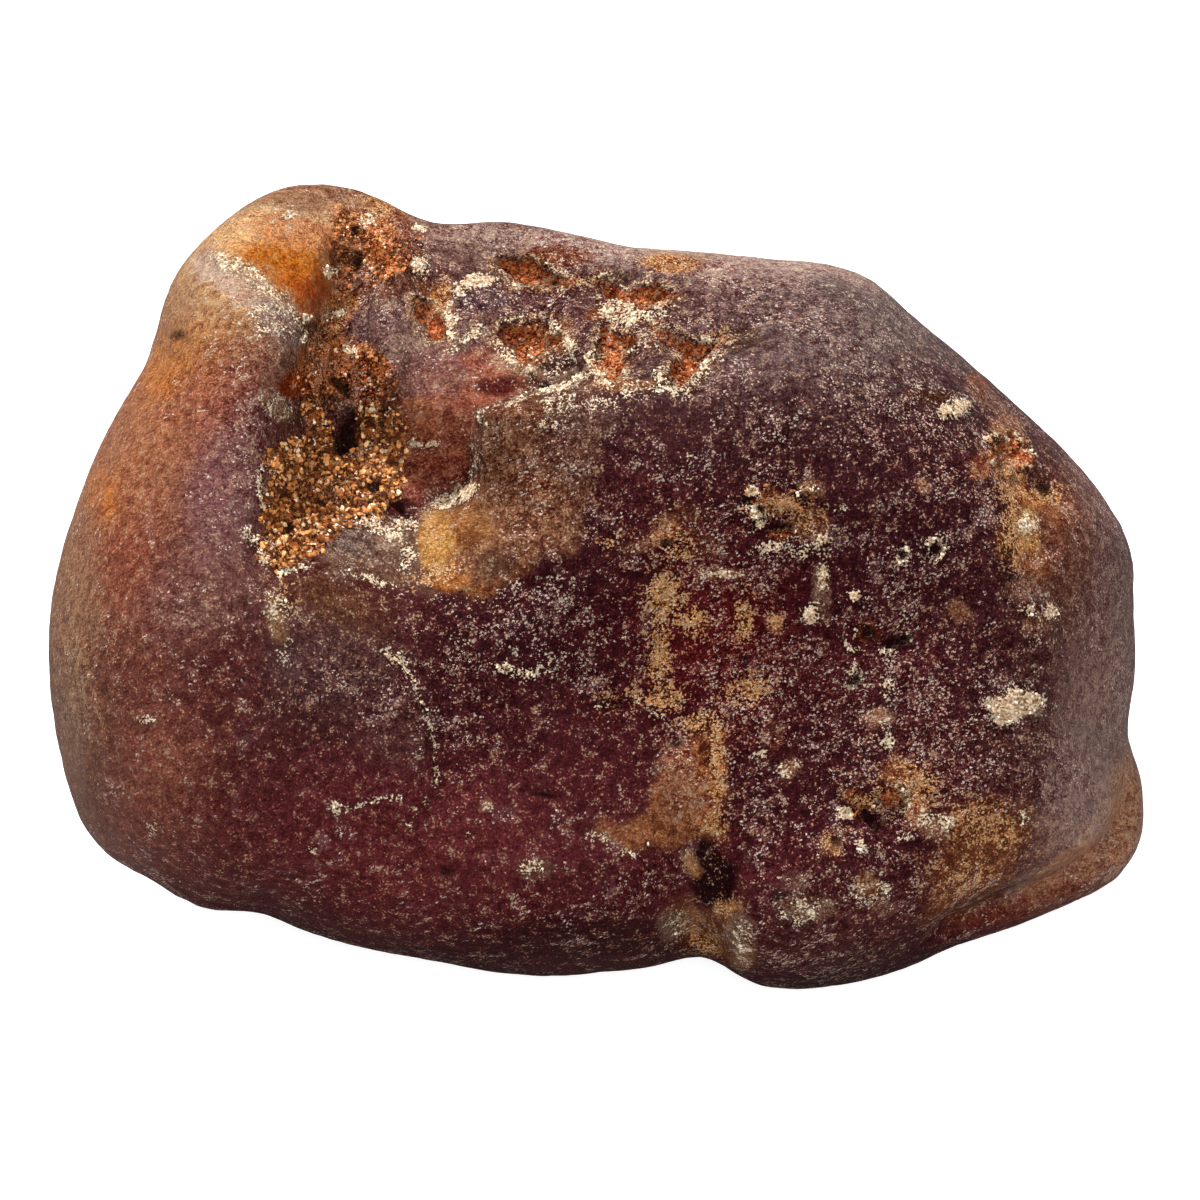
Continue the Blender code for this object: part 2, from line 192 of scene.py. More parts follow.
# Areas with a definite edge: name, outline, softness of the edge, colour, strength.
AREAS = (
    # The amber of the window is partly the stone's own colour and partly painted glow of light through the
    # stone.
    ("amber window", AMBER_WINDOW, 14, AMBER, 1.0),
    ("deep amber",
     ((286, 282), (312, 276), (331, 284), (330, 300), (316, 317), (300, 302)), 12, DEEP_AMBER, 1.0),
    ("upper gully",
     ((334, 207), (378, 214), (420, 236), (416, 262), (392, 280), (368, 284), (352, 296), (344, 326),
      (324, 330), (332, 294), (327, 268), (330, 238)), 8, GULLY, 0.95),
    ("gully",
     ((318, 318), (344, 312), (352, 335), (374, 348), (394, 372), (400, 404), (360, 412), (345, 402),
      (330, 408), (304, 404), (287, 388), (300, 360), (316, 345)), 6, GULLY, 1.0),
    ("side of the block",
     ((402, 440), (411, 430), (428, 400), (420, 372), (446, 356), (500, 350), (532, 366), (556, 386),
      (520, 399), (478, 412), (474, 440), (472, 470), (464, 490), (440, 490), (410, 500), (400, 470)),
     9, DARK_RED, 0.85),
    ("face of the block",
     ((482, 414), (520, 400), (574, 381), (596, 390), (600, 430), (585, 500), (570, 552), (520, 562),
      (484, 545), (464, 505), (470, 480), (478, 462), (470, 444), (478, 430)), 10, OLIVE, 0.95),
    ("bulge",
     ((420, 516), (440, 505), (472, 505), (492, 530), (522, 568), (484, 592), (444, 582), (426, 560)),
     14, AMBER_BROWN, 0.85),
    ("ledge",
     ((322, 552), (345, 528), (385, 520), (410, 516), (420, 545), (432, 592), (380, 582), (330, 576)),
     8, GREY_TAN, 0.9),
    ("tan mass",
     ((668, 748), (690, 740), (708, 722), (722, 740), (724, 790), (716, 820), (722, 835), (707, 838),
      (695, 832), (680, 846), (662, 846), (647, 843), (629, 852), (614, 840), (587, 833), (599, 824),
      (626, 827), (647, 815), (654, 790)), 9, seen(178, 118, 74), 1.0),
    ("tan below the diamond",
     ((690, 896), (706, 912), (730, 900), (748, 918), (752, 962), (730, 966), (700, 940), (666, 938),
      (664, 912)), 8, BROWN_TAN, 0.9),
    ("dark diamond",
     ((702, 842), (716, 846), (736, 866), (738, 886), (728, 900), (712, 908), (698, 904), (691, 886),
      (697, 868), (692, 856)), 4, DARK_PLUM, 1.0),
    ("dusty side of the seam",
     ((300, 628), (352, 620), (402, 652), (414, 680), (428, 712), (432, 750), (400, 770), (350, 730),
      (300, 680)), 16, GREY_PLUM, 0.6),
    ("foot",
     ((1150, 740), (1128, 796), (1100, 840), (1060, 864), (1020, 882), (996, 906), (1040, 906), (1100, 890),
      (1150, 850)), 10, FOOT_BROWN, 1.0),
    ("foot corner",
     ((944, 806), (990, 800), (1030, 812), (1020, 850), (1000, 890), (960, 920), (926, 922), (932, 880)),
     16, BROWN_TAN, 0.95),
)

# Small patches of colour, later ones over earlier: spot, colour as it looks on a screen, strength.
PATCHES = (
    # down the gully
    (352, 262, 18, 34, (134, 84, 54), 0.85), (380, 255, 15, 12, 20, (160, 92, 34), 0.9),
    (384, 206, 26, 9, 24, (196, 148, 92), 0.9), (400, 222, 14, 9, 30, (140, 78, 52), 0.8),
    (408, 250, 16, 12, (116, 64, 44), 0.8), (330, 252, 9, 14, (178, 120, 78), 0.7),
    (394, 286, 26, 10, -8, (136, 92, 68), 0.85), (428, 288, 14, 8, 60, (110, 58, 30), 0.9),
    # The dark grey patch at 484, 300 is painted shadow beside the pale V-shaped ridge.
    (438, 306, 9, 17, 8, (214, 150, 78), 1.0), (484, 300, 26, 11, -12, (86, 66, 72), 0.9),
    (372, 326, 34, 16, -10, (132, 104, 98), 0.9), (340, 306, 18, 10, -20, (196, 138, 72), 0.9),
    (314, 332, 14, 10, (110, 66, 34), 0.9), (334, 340, 6, 14, 10, (186, 118, 54), 0.9),
    (310, 358, 12, 18, (176, 110, 60), 0.9), (296, 386, 15, 14, (150, 62, 14), 0.95),
    (366, 372, 12, 20, -20, (168, 90, 36), 0.9), (384, 374, 9, 18, -30, (204, 124, 60), 0.9),
    (368, 394, 10, 14, (140, 66, 28), 0.9), (394, 400, 8, 30, (132, 84, 56), 0.8),
    (320, 402, 22, 8, (78, 54, 36), 0.8), (276, 406, 18, 8, 40, (196, 160, 116), 0.7),
    (420, 418, 26, 20, (190, 124, 84), 0.7), (500, 386, 24, 9, (96, 34, 30), 0.9),
    (430, 374, 38, 24, (142, 104, 92), 0.8), (546, 378, 26, 12, -20, (80, 46, 30), 0.9),
    (436, 544, 17, 28, (216, 170, 92), 0.9), (484, 562, 30, 22, -20, (148, 106, 80), 0.8),
    (452, 582, 20, 8, -10, (196, 128, 56), 0.7), (590, 408, 24, 26, (128, 96, 84), 0.6),
    (296, 232, 40, 16, 12, (220, 144, 84), 0.65), (240, 284, 50, 17, 33, (218, 190, 160), 0.75),
    (278, 322, 28, 13, 48, (178, 152, 140), 0.8), (212, 268, 24, 15, 20, (224, 198, 168), 0.7),
    (1076, 776, 32, 56, 10, (164, 142, 134), 0.7), (1128, 806, 18, 56, 6, (194, 148, 110), 0.85),
    (1070, 872, 52, 18, -30, (186, 134, 96), 0.8), (1040, 902, 70, 12, -14, (136, 76, 56), 0.85),
    # The first patch here, pale mauve beside the crevice, is partly painted sheen on the upward slope.
    (214, 512, 24, 46, 8, (150, 108, 104), 0.5), (300, 548, 16, 12, (176, 128, 84), 0.6),
    (350, 540, 22, 13, 10, (118, 102, 92), 0.8), (392, 536, 16, 12, (190, 164, 134), 0.6),
    (470, 540, 14, 10, (120, 70, 36), 0.8), (500, 560, 20, 14, (92, 58, 42), 0.6),
    (540, 488, 20, 12, (150, 96, 60), 0.7), (276, 618, 9, 24, -14, (188, 150, 104), 0.7),
    (570, 440, 26, 40, (96, 66, 62), 0.5),
    # around the pits
    (556, 256, 34, 11, (146, 88, 54), 0.8), (673, 263, 26, 8, 2, (190, 126, 62), 1.0),
    (562, 336, 14, 18, (190, 146, 104), 0.7), (520, 368, 26, 8, 18, (196, 164, 124), 0.75),
    (604, 312, 18, 6, -14, (170, 116, 62), 0.8), (626, 314, 10, 6, (206, 148, 78), 0.9),
    # The dark patches at 706, 342 and 592, 278 are painted shade where small holes lie.
    (690, 360, 12, 12, (196, 104, 48), 0.7), (706, 342, 18, 7, -14, (58, 24, 20), 0.95),
    (592, 278, 11, 4, (60, 34, 30), 0.9), (704, 363, 12, 7, -30, (206, 170, 124), 0.7),
    (742, 338, 22, 12, (84, 62, 44), 0.8), (622, 384, 30, 7, (190, 134, 82), 0.8),
    (576, 378, 28, 9, -14, (150, 126, 100), 0.7),
    # the cavity in the middle and the patches near it
    (778, 498, 20, 6, 5, (150, 92, 50), 0.9), (784, 506, 11, 5, (150, 70, 24), 0.95),
    (811, 489, 12, 9, (196, 152, 112), 0.8), (780, 535, 11, 3, (190, 96, 44), 0.9),
    (812, 524, 17, 16, -30, (146, 100, 66), 0.9), (667, 529, 14, 11, 30, (160, 110, 66), 0.9),
    (690, 515, 24, 10, 10, (108, 62, 42), 0.7), (648, 543, 24, 6, -18, (168, 118, 84), 0.8),
    (700, 544, 20, 12, 20, (116, 64, 42), 0.7), (722, 574, 21, 5, 2, (188, 128, 84), 1.0),
    (774, 624, 7, 9, -20, (176, 116, 90), 0.9), (867, 632, 13, 10, (116, 50, 20), 0.9),
    (923, 486, 8, 6, (176, 134, 90), 0.8), (878, 717, 15, 8, (206, 164, 124), 0.95),
    (822, 592, 8, 26, -2, (170, 140, 112), 0.8), (1014, 706, 25, 9, 6, (246, 222, 194), 1.0),
    # the streak down the right side
    (930, 396, 26, 6, 5, (104, 62, 32), 0.8), (977, 386, 13, 9, 45, (158, 98, 58), 0.9),
    (990, 402, 30, 9, 38, (150, 112, 84), 0.7), (1006, 426, 15, 13, (174, 124, 82), 0.85),
    (1002, 445, 13, 6, 20, (76, 32, 16), 0.95), (1022, 458, 9, 9, (204, 96, 44), 1.0),
    (1008, 466, 14, 12, (200, 130, 82), 0.9), (990, 462, 16, 14, (156, 98, 62), 0.9),
    (978, 474, 9, 6, (178, 128, 88), 0.9), (1016, 482, 10, 13, -20, (186, 108, 64), 0.95),
    (1030, 500, 16, 8, 10, (170, 98, 40), 0.95), (1060, 512, 20, 14, 10, (158, 106, 68), 0.8),
    (1028, 536, 12, 32, (214, 168, 96), 1.0), (1004, 542, 9, 18, (128, 84, 42), 0.9),
    (1036, 566, 18, 16, (160, 108, 70), 0.85), (1022, 590, 15, 11, (146, 108, 88), 0.9),
    (1036, 626, 13, 10, (160, 118, 86), 0.85), (960, 612, 12, 9, 40, (166, 124, 88), 0.9),
    # along the bottom
    (684, 786, 26, 26, (176, 130, 96), 0.5), (711, 776, 14, 22, (176, 108, 50), 0.9),
    (708, 744, 8, 22, (116, 66, 34), 0.8), (672, 826, 40, 12, (168, 114, 72), 0.8),
    (692, 864, 6, 15, -28, (196, 148, 96), 0.95), (728, 909, 14, 9, (190, 140, 88), 1.0),
    (738, 932, 13, 18, (152, 124, 100), 0.9), (744, 956, 10, 13, 30, (190, 150, 104), 0.9),
    (692, 924, 12, 13, (168, 122, 80), 0.9), (669, 926, 10, 14, (146, 120, 102), 0.8),
    (710, 938, 12, 16, (128, 76, 42), 0.9), (789, 768, 10, 8, (208, 164, 122), 0.95),
    (773, 738, 10, 16, (116, 68, 46), 0.8), (902, 778, 20, 14, 20, (176, 126, 80), 0.9),
    (914, 804, 11, 22, -14, (196, 150, 102), 0.95), (930, 828, 14, 9, 20, (176, 132, 92), 0.8),
    (891, 799, 10, 7, (72, 34, 16), 0.9), (857, 799, 14, 7, 24, (160, 90, 44), 0.9),
    (829, 846, 12, 9, (158, 110, 78), 0.8), (868, 886, 13, 11, 20, (196, 154, 108), 0.85),
    (881, 904, 13, 10, 30, (158, 124, 98), 0.7), (804, 908, 25, 12, 10, (176, 146, 116), 0.6),
    (795, 884, 12, 14, (136, 102, 88), 0.6), (486, 806, 7, 5, (196, 150, 120), 0.9),
    (534, 868, 18, 11, -15, (156, 116, 96), 0.7),
)

# Pale dust that lies on the surface as a haze: spot, strength.
DUST = (
    (222, 278, 36, 20, 28, 1.0), (268, 306, 44, 18, 38, 1.0), (286, 334, 22, 16, 30, 0.7),
    (210, 300, 40, 30, 20, 0.5), (292, 222, 26, 18, 0.6), (376, 212, 26, 12, 15, 0.5),
    (150, 720, 16, 8, -15, 0.5), (110, 640, 24, 40, 0.4), (76, 700, 16, 80, 0.6),
    (190, 612, 50, 22, -10, 0.5), (270, 404, 26, 12, 25, 0.7), (336, 640, 60, 30, 30, 0.4),
    (336, 808, 12, 10, 0.8), (360, 548, 44, 20, 10, 0.7), (640, 380, 180, 22, -3, 0.35),
    (590, 420, 50, 30, 0.6), (560, 410, 30, 16, 0.6), (530, 460, 56, 70, 0.35), (640, 300, 50, 20, 0.5),
    (720, 574, 26, 8, 0.6), (690, 545, 40, 18, 15, 0.5), (800, 545, 44, 20, -20, 0.5),
    (690, 800, 30, 30, 0.6), (890, 716, 12, 34, 5, 0.6), (912, 786, 22, 24, 30, 0.5),
    (872, 890, 22, 18, 0.7), (802, 912, 26, 16, 0.6), (744, 944, 12, 26, 0.8), (690, 924, 20, 14, 0.7),
    (1030, 590, 26, 30, 0.6), (1126, 640, 18, 180, 0.7), (1106, 740, 30, 50, 10, 0.5),
    (950, 395, 60, 20, 25, 0.4), (880, 330, 90, 24, 20, 0.3), (780, 768, 20, 14, 0.5),
    (845, 815, 12, 10, 0.5),
)

# Pale lime crust: spot, strength.
CREAM_DABS = (
    (1022, 702, 18, 10, 8, 1.9), (1004, 710, 14, 9, 20, 1.5), (990, 703, 8, 4, 40, 0.9),
    (1002, 722, 14, 3, 4, 0.9), (974, 718, 9, 4, -40, 0.7), (476, 281, 17, 6, -8, 1.5),
    (460, 290, 8, 5, -50, 1.0), (452, 322, 5, 8, 0.9), (474, 331, 14, 5, -34, 0.7), (454, 350, 9, 4, 0.7),
    (420, 228, 6, 4, 1.2), (420, 266, 9, 10, 20, 0.8), (368, 222, 8, 8, 0.8), (290, 214, 10, 6, -30, 0.8),
    (330, 272, 8, 7, 0.7), (306, 318, 7, 4, 0.9), (335, 314, 12, 5, -20, 0.7), (350, 350, 9, 6, 40, 0.8),
    (618, 307, 17, 6, 4, 1.3), (650, 313, 14, 4, 10, 0.9), (508, 356, 7, 12, -34, 0.9),
    (556, 326, 7, 9, 0.6), (570, 346, 8, 8, 0.7), (596, 358, 9, 6, 0.9), (640, 390, 30, 6, -6, 0.7),
    (752, 491, 6, 5, 1.4), (758, 511, 16, 8, 20, 0.6), (814, 488, 8, 5, 0.8), (840, 510, 8, 3, -10, 0.6),
    (758, 527, 10, 4, -40, 0.8), (780, 541, 10, 5, -16, 0.8), (798, 533, 7, 4, -20, 0.7),
    (772, 548, 16, 7, 0.85), (824, 539, 7, 5, 1.0), (812, 552, 22, 8, 0.6), (812, 614, 9, 9, -20, 0.9),
    (854, 596, 6, 6, 0.9), (1028, 610, 8, 6, 40, 1.1), (1050, 612, 9, 7, 30, 1.1), (1028, 524, 11, 10, 0.9),
    (762, 752, 6, 4, 1.4), (946, 822, 8, 7, 1.0), (908, 837, 8, 5, 0.8), (862, 846, 9, 6, 30, 0.7),
    (236, 268, 34, 10, 26, 0.72), (276, 300, 28, 10, 38, 0.66), (268, 320, 34, 16, 30, 0.5),
    (285, 215, 30, 13, 0.28), (456, 496, 22, 8, -25, 1.0), (566, 402, 26, 14, -12, 0.53),
    (546, 424, 14, 10, 0.51), (403, 525, 16, 7, 0.75), (262, 546, 16, 12, 30, 0.55),
    (278, 612, 12, 22, -10, 0.5), (288, 650, 12, 16, 0.31), (280, 408, 22, 12, 25, 0.47),
    (337, 808, 7, 7, 1.0), (340, 835, 6, 5, 0.8), (312, 850, 6, 4, 0.59), (148, 720, 10, 4, -10, 0.6),
    (150, 828, 8, 8, 0.51), (486, 806, 6, 5, 0.8), (468, 832, 5, 4, 0.59), (534, 868, 18, 11, -15, 0.55),
    (720, 574, 21, 4, 0.8), (823, 578, 5, 13, 4, 0.9), (820, 606, 5, 9, -8, 0.8),
    (690, 465, 34, 16, -10, 0.28), (903, 555, 9, 9, 0.53), (936, 547, 11, 11, 0.55),
    (866, 650, 24, 8, 0.28), (856, 678, 11, 12, 0.51), (888, 690, 8, 14, 0.51), (886, 734, 7, 20, 0.62),
    (845, 813, 7, 6, 1.4), (788, 768, 12, 9, 0.59), (926, 818, 12, 9, 20, 0.51), (1022, 820, 11, 8, 0.55),
    (872, 890, 20, 15, 10, 0.53), (802, 910, 24, 14, -20, 0.53), (954, 409, 15, 9, -14, 1.15),
    (680, 925, 14, 14, 0.51), (743, 945, 10, 24, 0.51), (555, 366, 30, 16, 0.31), (604, 704, 9, 6, 0.6),
    (634, 700, 7, 5, 0.6), (655, 716, 10, 5, 10, 0.55), (604, 402, 18, 12, 0.45),
    (940, 395, 50, 14, 22, 0.26), (398, 660, 14, 9, 30, 0.5), (540, 650, 50, 16, 10, 0.26),
    (506, 668, 12, 6, 10, 0.75), (530, 672, 12, 7, -10, 0.7), (552, 668, 9, 4, 0.55),
    (860, 300, 60, 10, 20, 0.22), (560, 590, 60, 18, 14, 0.22), (1040, 620, 16, 24, 0.31),
)

# Lines of the same crust: route, half width, strength.
CREAM_LINES = (
    (((896, 550), (904, 547), (909, 552)), 1.5, 0.8), (((907, 560), (900, 562), (896, 557)), 1.5, 0.9),
    (((924, 546), (932, 541)), 2, 0.8), (((944, 548), (942, 557), (934, 560)), 2, 0.8),
    (((798, 500), (796, 492), (802, 488)), 2, 0.8), (((845, 642), (850, 648), (860, 648)), 2.5, 0.8),
    (((880, 651), (890, 650), (897, 653)), 2.5, 0.85), (((911, 640), (908, 632)), 2, 0.8),
    (((848, 626), (856, 630), (854, 638)), 2, 0.7), (((850, 675), (855, 665)), 2.5, 0.8),
    (((862, 680), (854, 687)), 2.5, 0.75),
    (((594, 350), (586, 358), (594, 366), (602, 380), (612, 388)), 3, 0.9),
    (((630, 352), (646, 344), (662, 348)), 3, 0.7),
    (((500, 342), (504, 356), (520, 366), (534, 372)), 3, 0.8),
    (((236, 270), (262, 288), (284, 300), (300, 322), (304, 338)), 5, 0.6),
    (((700, 366), (716, 356), (722, 360)), 3, 0.8), (((984, 438), (996, 434), (1012, 440)), 2, 0.9),
    (((877, 505), (882, 501), (891, 501)), 1.2, 0.7), (((412, 442), (424, 446), (437, 444)), 3, 1.0),
    (((452, 348), (470, 339), (482, 328)), 3, 0.8), (((449, 300), (446, 316), (450, 340)), 3, 0.7),
    (((484, 424), (477, 413), (507, 404), (529, 395), (558, 387), (574, 379), (596, 371)), 4, 0.56),
    (((471, 446), (477, 460), (470, 476), (466, 488)), 3, 0.55),
    (((498, 345), (510, 362), (532, 370)), 5, 0.66), (((592, 362), (604, 390), (640, 386)), 6, 0.62),
    (((655, 375), (683, 392), (707, 366)), 6, 0.6), (((603, 311), (630, 320), (662, 308)), 6, 0.8),
    (((246, 530), (256, 548), (270, 564)), 5, 0.7), (((282, 574), (304, 566)), 5, 0.6),
    (((262, 470), (258, 492), (263, 508)), 3, 0.75),
    (((360, 519), (386, 530), (408, 547), (405, 564)), 8, 0.6), (((350, 572), (392, 586)), 6, 0.4),
    (((428, 596), (460, 600), (500, 600)), 6, 0.26),
    (((380, 650), (402, 664), (412, 678), (424, 708), (434, 738)), 2.5, 0.62),
    (((434, 738), (437, 784), (424, 806), (408, 824)), 3, 0.5),
    (((340, 812), (372, 802), (400, 796)), 3, 0.5), (((588, 833), (600, 836), (606, 842)), 4, 0.5),
    (((622, 850), (632, 855), (648, 846)), 3, 0.5),
)

# Ochre clay: spot, strength.
OCHRE_DABS = (
    (664, 600, 17, 24, 0.85), (660, 652, 11, 34, 0.85), (665, 697, 18, 14, 0.72),
    (690, 620, 18, 14, 20, 0.66), (676, 545, 20, 14, 25, 0.6), (612, 540, 14, 6, -20, 0.5),
    (745, 620, 9, 20, 0.72), (750, 688, 14, 15, 0.78), (776, 622, 7, 8, 0.7), (608, 702, 12, 9, 0.6),
    (632, 698, 10, 8, 0.66), (700, 722, 20, 9, 0.8), (717, 764, 7, 42, 0.8), (712, 826, 13, 12, 0.8),
    (728, 690, 10, 10, 0.4), (725, 908, 10, 9, 0.7), (694, 936, 8, 16, 0.5), (712, 946, 12, 14, 0.5),
    (780, 506, 20, 9, 0.9), (800, 524, 20, 10, -20, 0.6), (1012, 484, 12, 22, 0.9),
    (1044, 494, 18, 9, 0.75), (1012, 530, 10, 36, 0.7), (444, 298, 7, 18, 0.95), (378, 212, 16, 8, 0.6),
    (332, 322, 9, 12, 0.8), (316, 342, 9, 10, 0.5), (985, 826, 40, 22, 10, 0.6), (966, 870, 28, 22, 0.4),
    (910, 786, 24, 20, 35, 0.75), (864, 800, 18, 8, 0.62), (832, 846, 10, 12, 0.55), (866, 884, 12, 8, 0.5),
    (672, 262, 26, 9, 0.9), (630, 316, 26, 8, 0.6), (440, 572, 26, 12, -15, 0.6), (434, 530, 14, 16, 0.45),
    (282, 604, 14, 20, 0.5),
)

# The sandy zone of cemented grit, low in the crevice.
GRIT_OUTLINE = (
    (300, 402), (318, 412), (330, 430), (336, 458), (350, 458), (358, 440), (358, 408), (380, 402),
    (398, 410), (402, 440), (401, 470), (398, 496), (380, 514), (345, 524), (322, 544), (306, 560),
    (284, 574), (270, 568), (258, 552), (266, 538), (256, 520), (268, 506), (262, 490), (272, 476),
    (264, 460), (276, 446), (296, 440), (308, 432),
)
# Rough, broken ground above it, in the cavities and beside the pits.
ROUGH_OUTLINES = (
    ((318, 318), (344, 312), (352, 335), (374, 348), (394, 372), (400, 404), (360, 412), (345, 402),
     (330, 410), (304, 404), (287, 388), (300, 360), (316, 345)),
    ((336, 208), (378, 214), (420, 236), (416, 262), (392, 280), (368, 284), (352, 296), (344, 326),
     (324, 330), (334, 294), (332, 268), (332, 238)),
    ((412, 300), (430, 306), (447, 318), (448, 340), (428, 338), (416, 322)),
    ((744, 488), (812, 486), (816, 505), (800, 520), (764, 526), (750, 512)),
    ((850, 796), (876, 798), (900, 790), (904, 812), (880, 826), (852, 818)),
    ((988, 440), (1026, 444), (1030, 470), (1008, 486), (984, 466)),
)

# Holes, darkened with painted shade: outline, depth in millimetres.
HOLES = (
    (((328, 372), (340, 373), (350, 388), (354, 400), (346, 402), (338, 390), (328, 380)), 0.7),
    (((345, 407), (353, 408), (357, 430), (357, 450), (346, 456), (332, 454), (338, 430)), 1.0),
    (((277, 488), (288, 484), (290, 496), (280, 499)), 0.4),
    (((367, 482), (382, 484), (380, 494), (368, 492)), 0.4),
    (((387, 503), (398, 502), (414, 513), (411, 523), (396, 516)), 0.5),
    (((300, 466), (307, 462), (311, 471), (303, 474)), 0.3),
    (((312, 498), (320, 495), (323, 504), (314, 506)), 0.3),
    (((284, 524), (292, 520), (296, 528), (287, 533)), 0.3),
    (((338, 492), (345, 488), (349, 495), (341, 499)), 0.3),
    (((379, 420), (386, 418), (388, 432), (381, 434)), 0.35),
    (((312, 428), (320, 426), (324, 440), (314, 438)), 0.35),
    (((352, 226), (362, 229), (361, 239), (352, 238)), 0.3),
    (((352, 260), (361, 258), (360, 272), (352, 284)), 0.3),
    (((540, 386), (556, 378), (578, 366), (584, 370), (566, 382), (548, 390)), 0.2),
    (((1036, 486), (1052, 484), (1053, 493), (1040, 496)), 0.3),
    (((1006, 572), (1016, 572), (1014, 586), (1006, 584)), 0.2),
    (((742, 496), (752, 495), (753, 501), (744, 502)), 0.35),
    (((800, 493), (809, 493), (809, 499), (801, 500)), 0.35),
    (((766, 524), (778, 521), (796, 524), (790, 531), (774, 529)), 0.3),
    (((662, 541), (682, 540), (680, 546), (664, 546)), 0.15),
    (((860, 626), (872, 626), (876, 636), (862, 638)), 0.25),
    (((884, 642), (900, 635), (911, 633), (909, 644), (896, 645), (886, 649)), 0.35),
    (((856, 808), (866, 808), (880, 824), (874, 829), (862, 819)), 0.4),
)

# Pits with rusty floors: outline, extra depth in millimetres.
RUSTY_PITS = (
    (((499, 264), (508, 260), (534, 261), (545, 266), (556, 274), (578, 283), (570, 288), (548, 284),
      (528, 285), (514, 281), (505, 273)), 0.24),
    (((597, 283), (606, 280), (618, 285), (623, 294), (640, 290), (656, 287), (669, 291), (672, 299),
      (660, 304), (640, 306), (622, 304), (606, 302)), 0.32),
    (((501, 336), (507, 326), (520, 325), (534, 322), (546, 319), (552, 326), (549, 334), (560, 337),
      (557, 345), (546, 345), (540, 353), (534, 362), (520, 361), (511, 353), (504, 346)), 0.35),
    (((600, 338), (606, 329), (618, 333), (632, 338), (633, 345), (622, 351), (618, 359), (623, 365),
      (621, 373), (610, 379), (600, 376), (593, 366), (594, 352)), 0.35),
    (((655, 329), (666, 331), (674, 338), (686, 345), (700, 348), (714, 341), (724, 334), (722, 343),
      (708, 353), (703, 364), (693, 374), (683, 388), (670, 385), (665, 374), (673, 362), (682, 357),
      (672, 349), (660, 342)), 0.34),
    (((994, 442), (1012, 438), (1024, 450), (1028, 462), (1014, 466), (1000, 456)), 0.24),
    (((415, 302), (430, 306), (446, 320), (446, 338), (430, 336), (418, 322)), 0.24),
    (((882, 794), (892, 790), (902, 794), (900, 804), (888, 806), (880, 801)), 0.25),
)

# Small bare pits, also darkened with painted shade: spot, depth in millimetres.
SMALL_PITS = (
    (903, 555, 5, 5, 0.3), (936, 548, 6, 6, 0.3), (856, 680, 7, 7, 0.15), (447, 870, 10, 6, 0.12),
    (545, 795, 14, 3, 8, 0.15), (704, 842, 6, 9, 20, 0.15), (178, 337, 8, 6, 0.12), (620, 702, 5, 5, 0.15),
    (745, 660, 5, 6, 0.12), (676, 744, 6, 4, 0.12), (836, 842, 6, 8, 0.15), (780, 896, 7, 5, 0.12),
)

# How thick the frosting lies: spot, change. Thicker frosting has more flecks, partly painted glints.
FROST_DABS = (
    (200, 770, 190, 160, -0.36), (140, 460, 120, 200, 12, -0.32), (286, 262, 70, 50, -20, -0.55),
    (450, 390, 50, 40, -0.35), (460, 840, 180, 70, -0.25), (456, 548, 52, 42, -0.6),
    (520, 650, 160, 70, 10, 0.04), (690, 790, 40, 50, 0.2), (714, 872, 24, 34, -0.5),
    (700, 320, 260, 70, 3, -0.02), (530, 470, 60, 80, 0.2), (340, 700, 70, 60, 0.25),
    (610, 400, 80, 60, -10, -0.25), (330, 610, 50, 30, 20, -0.2), (880, 560, 70, 60, -0.2),
    (990, 600, 50, 60, -0.1), (610, 760, 90, 50, -0.2), (900, 640, 160, 160, 0.12),
    (1090, 640, 40, 200, -0.15), (1060, 850, 120, 70, -0.3), (650, 940, 200, 40, -0.2),
)

# ---------------------------------------------------------------- measuring on the sheet

# How far outside the rim of a rusty pit its fringe has its middle, and how wide it is.
FRINGE_OUTSIDE = 5
FRINGE_WIDTH = 6


def on_sheet(points):
    """Where points in space lie on the sheet, as two arrays."""
    from_centre = points - np.array(FACE_CENTRE)
    nearer = EYE_DISTANCE / (EYE_DISTANCE - from_centre @ np.array(OUT_OF_FACE))
    across = (from_centre @ np.array(ACROSS) - SIGHT_OFFSET[0]) * nearer / SHEET_UNIT
    up = (from_centre @ np.array(UP_FACE) - SIGHT_OFFSET[1]) * nearer / SHEET_UNIT
    return SHEET_SIDE / 2 + across, SHEET_SIDE / 2 - up


def towards_sheet(normals):
    """1 where the skin faces the sheet squarely, 0 where it is seen edge on, less on the back."""
    return normals @ np.array(OUT_OF_FACE)


def smooth_step(low, high, value):
    share = np.clip((value - low) / (high - low), 0, 1)
    return share * share * (3 - 2 * share)


def reach(x, y, middle_x, middle_y, half_width, half_height, turn_deg=0):
    """0 in the middle of a spot, 1 on its rim and more outside."""
    turn = math.radians(turn_deg)
    across = (x - middle_x) * math.cos(turn) + (y - middle_y) * math.sin(turn)
    along = (y - middle_y) * math.cos(turn) - (x - middle_x) * math.sin(turn)
    return np.hypot(across / half_width, along / half_height)


def dab(x, y, steepness, spot):
    """1 in the middle of a spot, fading across its rim."""
    return 1 / (1 + reach(x, y, *spot) ** (2 * steepness))


def from_route(x, y, route):
    """Distance to the nearest stretch of a route."""
    nearest = np.full(x.shape, np.inf)
    for start, end in zip(route, route[1:]):
        run = np.array(end, float) - np.array(start, float)
        share = ((x - start[0]) * run[0] + (y - start[1]) * run[1]) / (run @ run)
        share = np.clip(share, 0, 1)
        away = np.hypot(x - start[0] - share * run[0], y - start[1] - share * run[1])
        nearest = np.minimum(nearest, away)
    return nearest


def painted(x, y, dabs, lines=()):
    """The strongest of many dabs and lines at each point."""
    field = np.zeros(x.shape)
    for *spot, strength in dabs:
        field = np.maximum(field, strength * dab(x, y, 2.0, spot))
    for route, half_width, strength in lines:
        field = np.maximum(field, strength / (1 + (from_route(x, y, route) / half_width) ** 3))
    return field


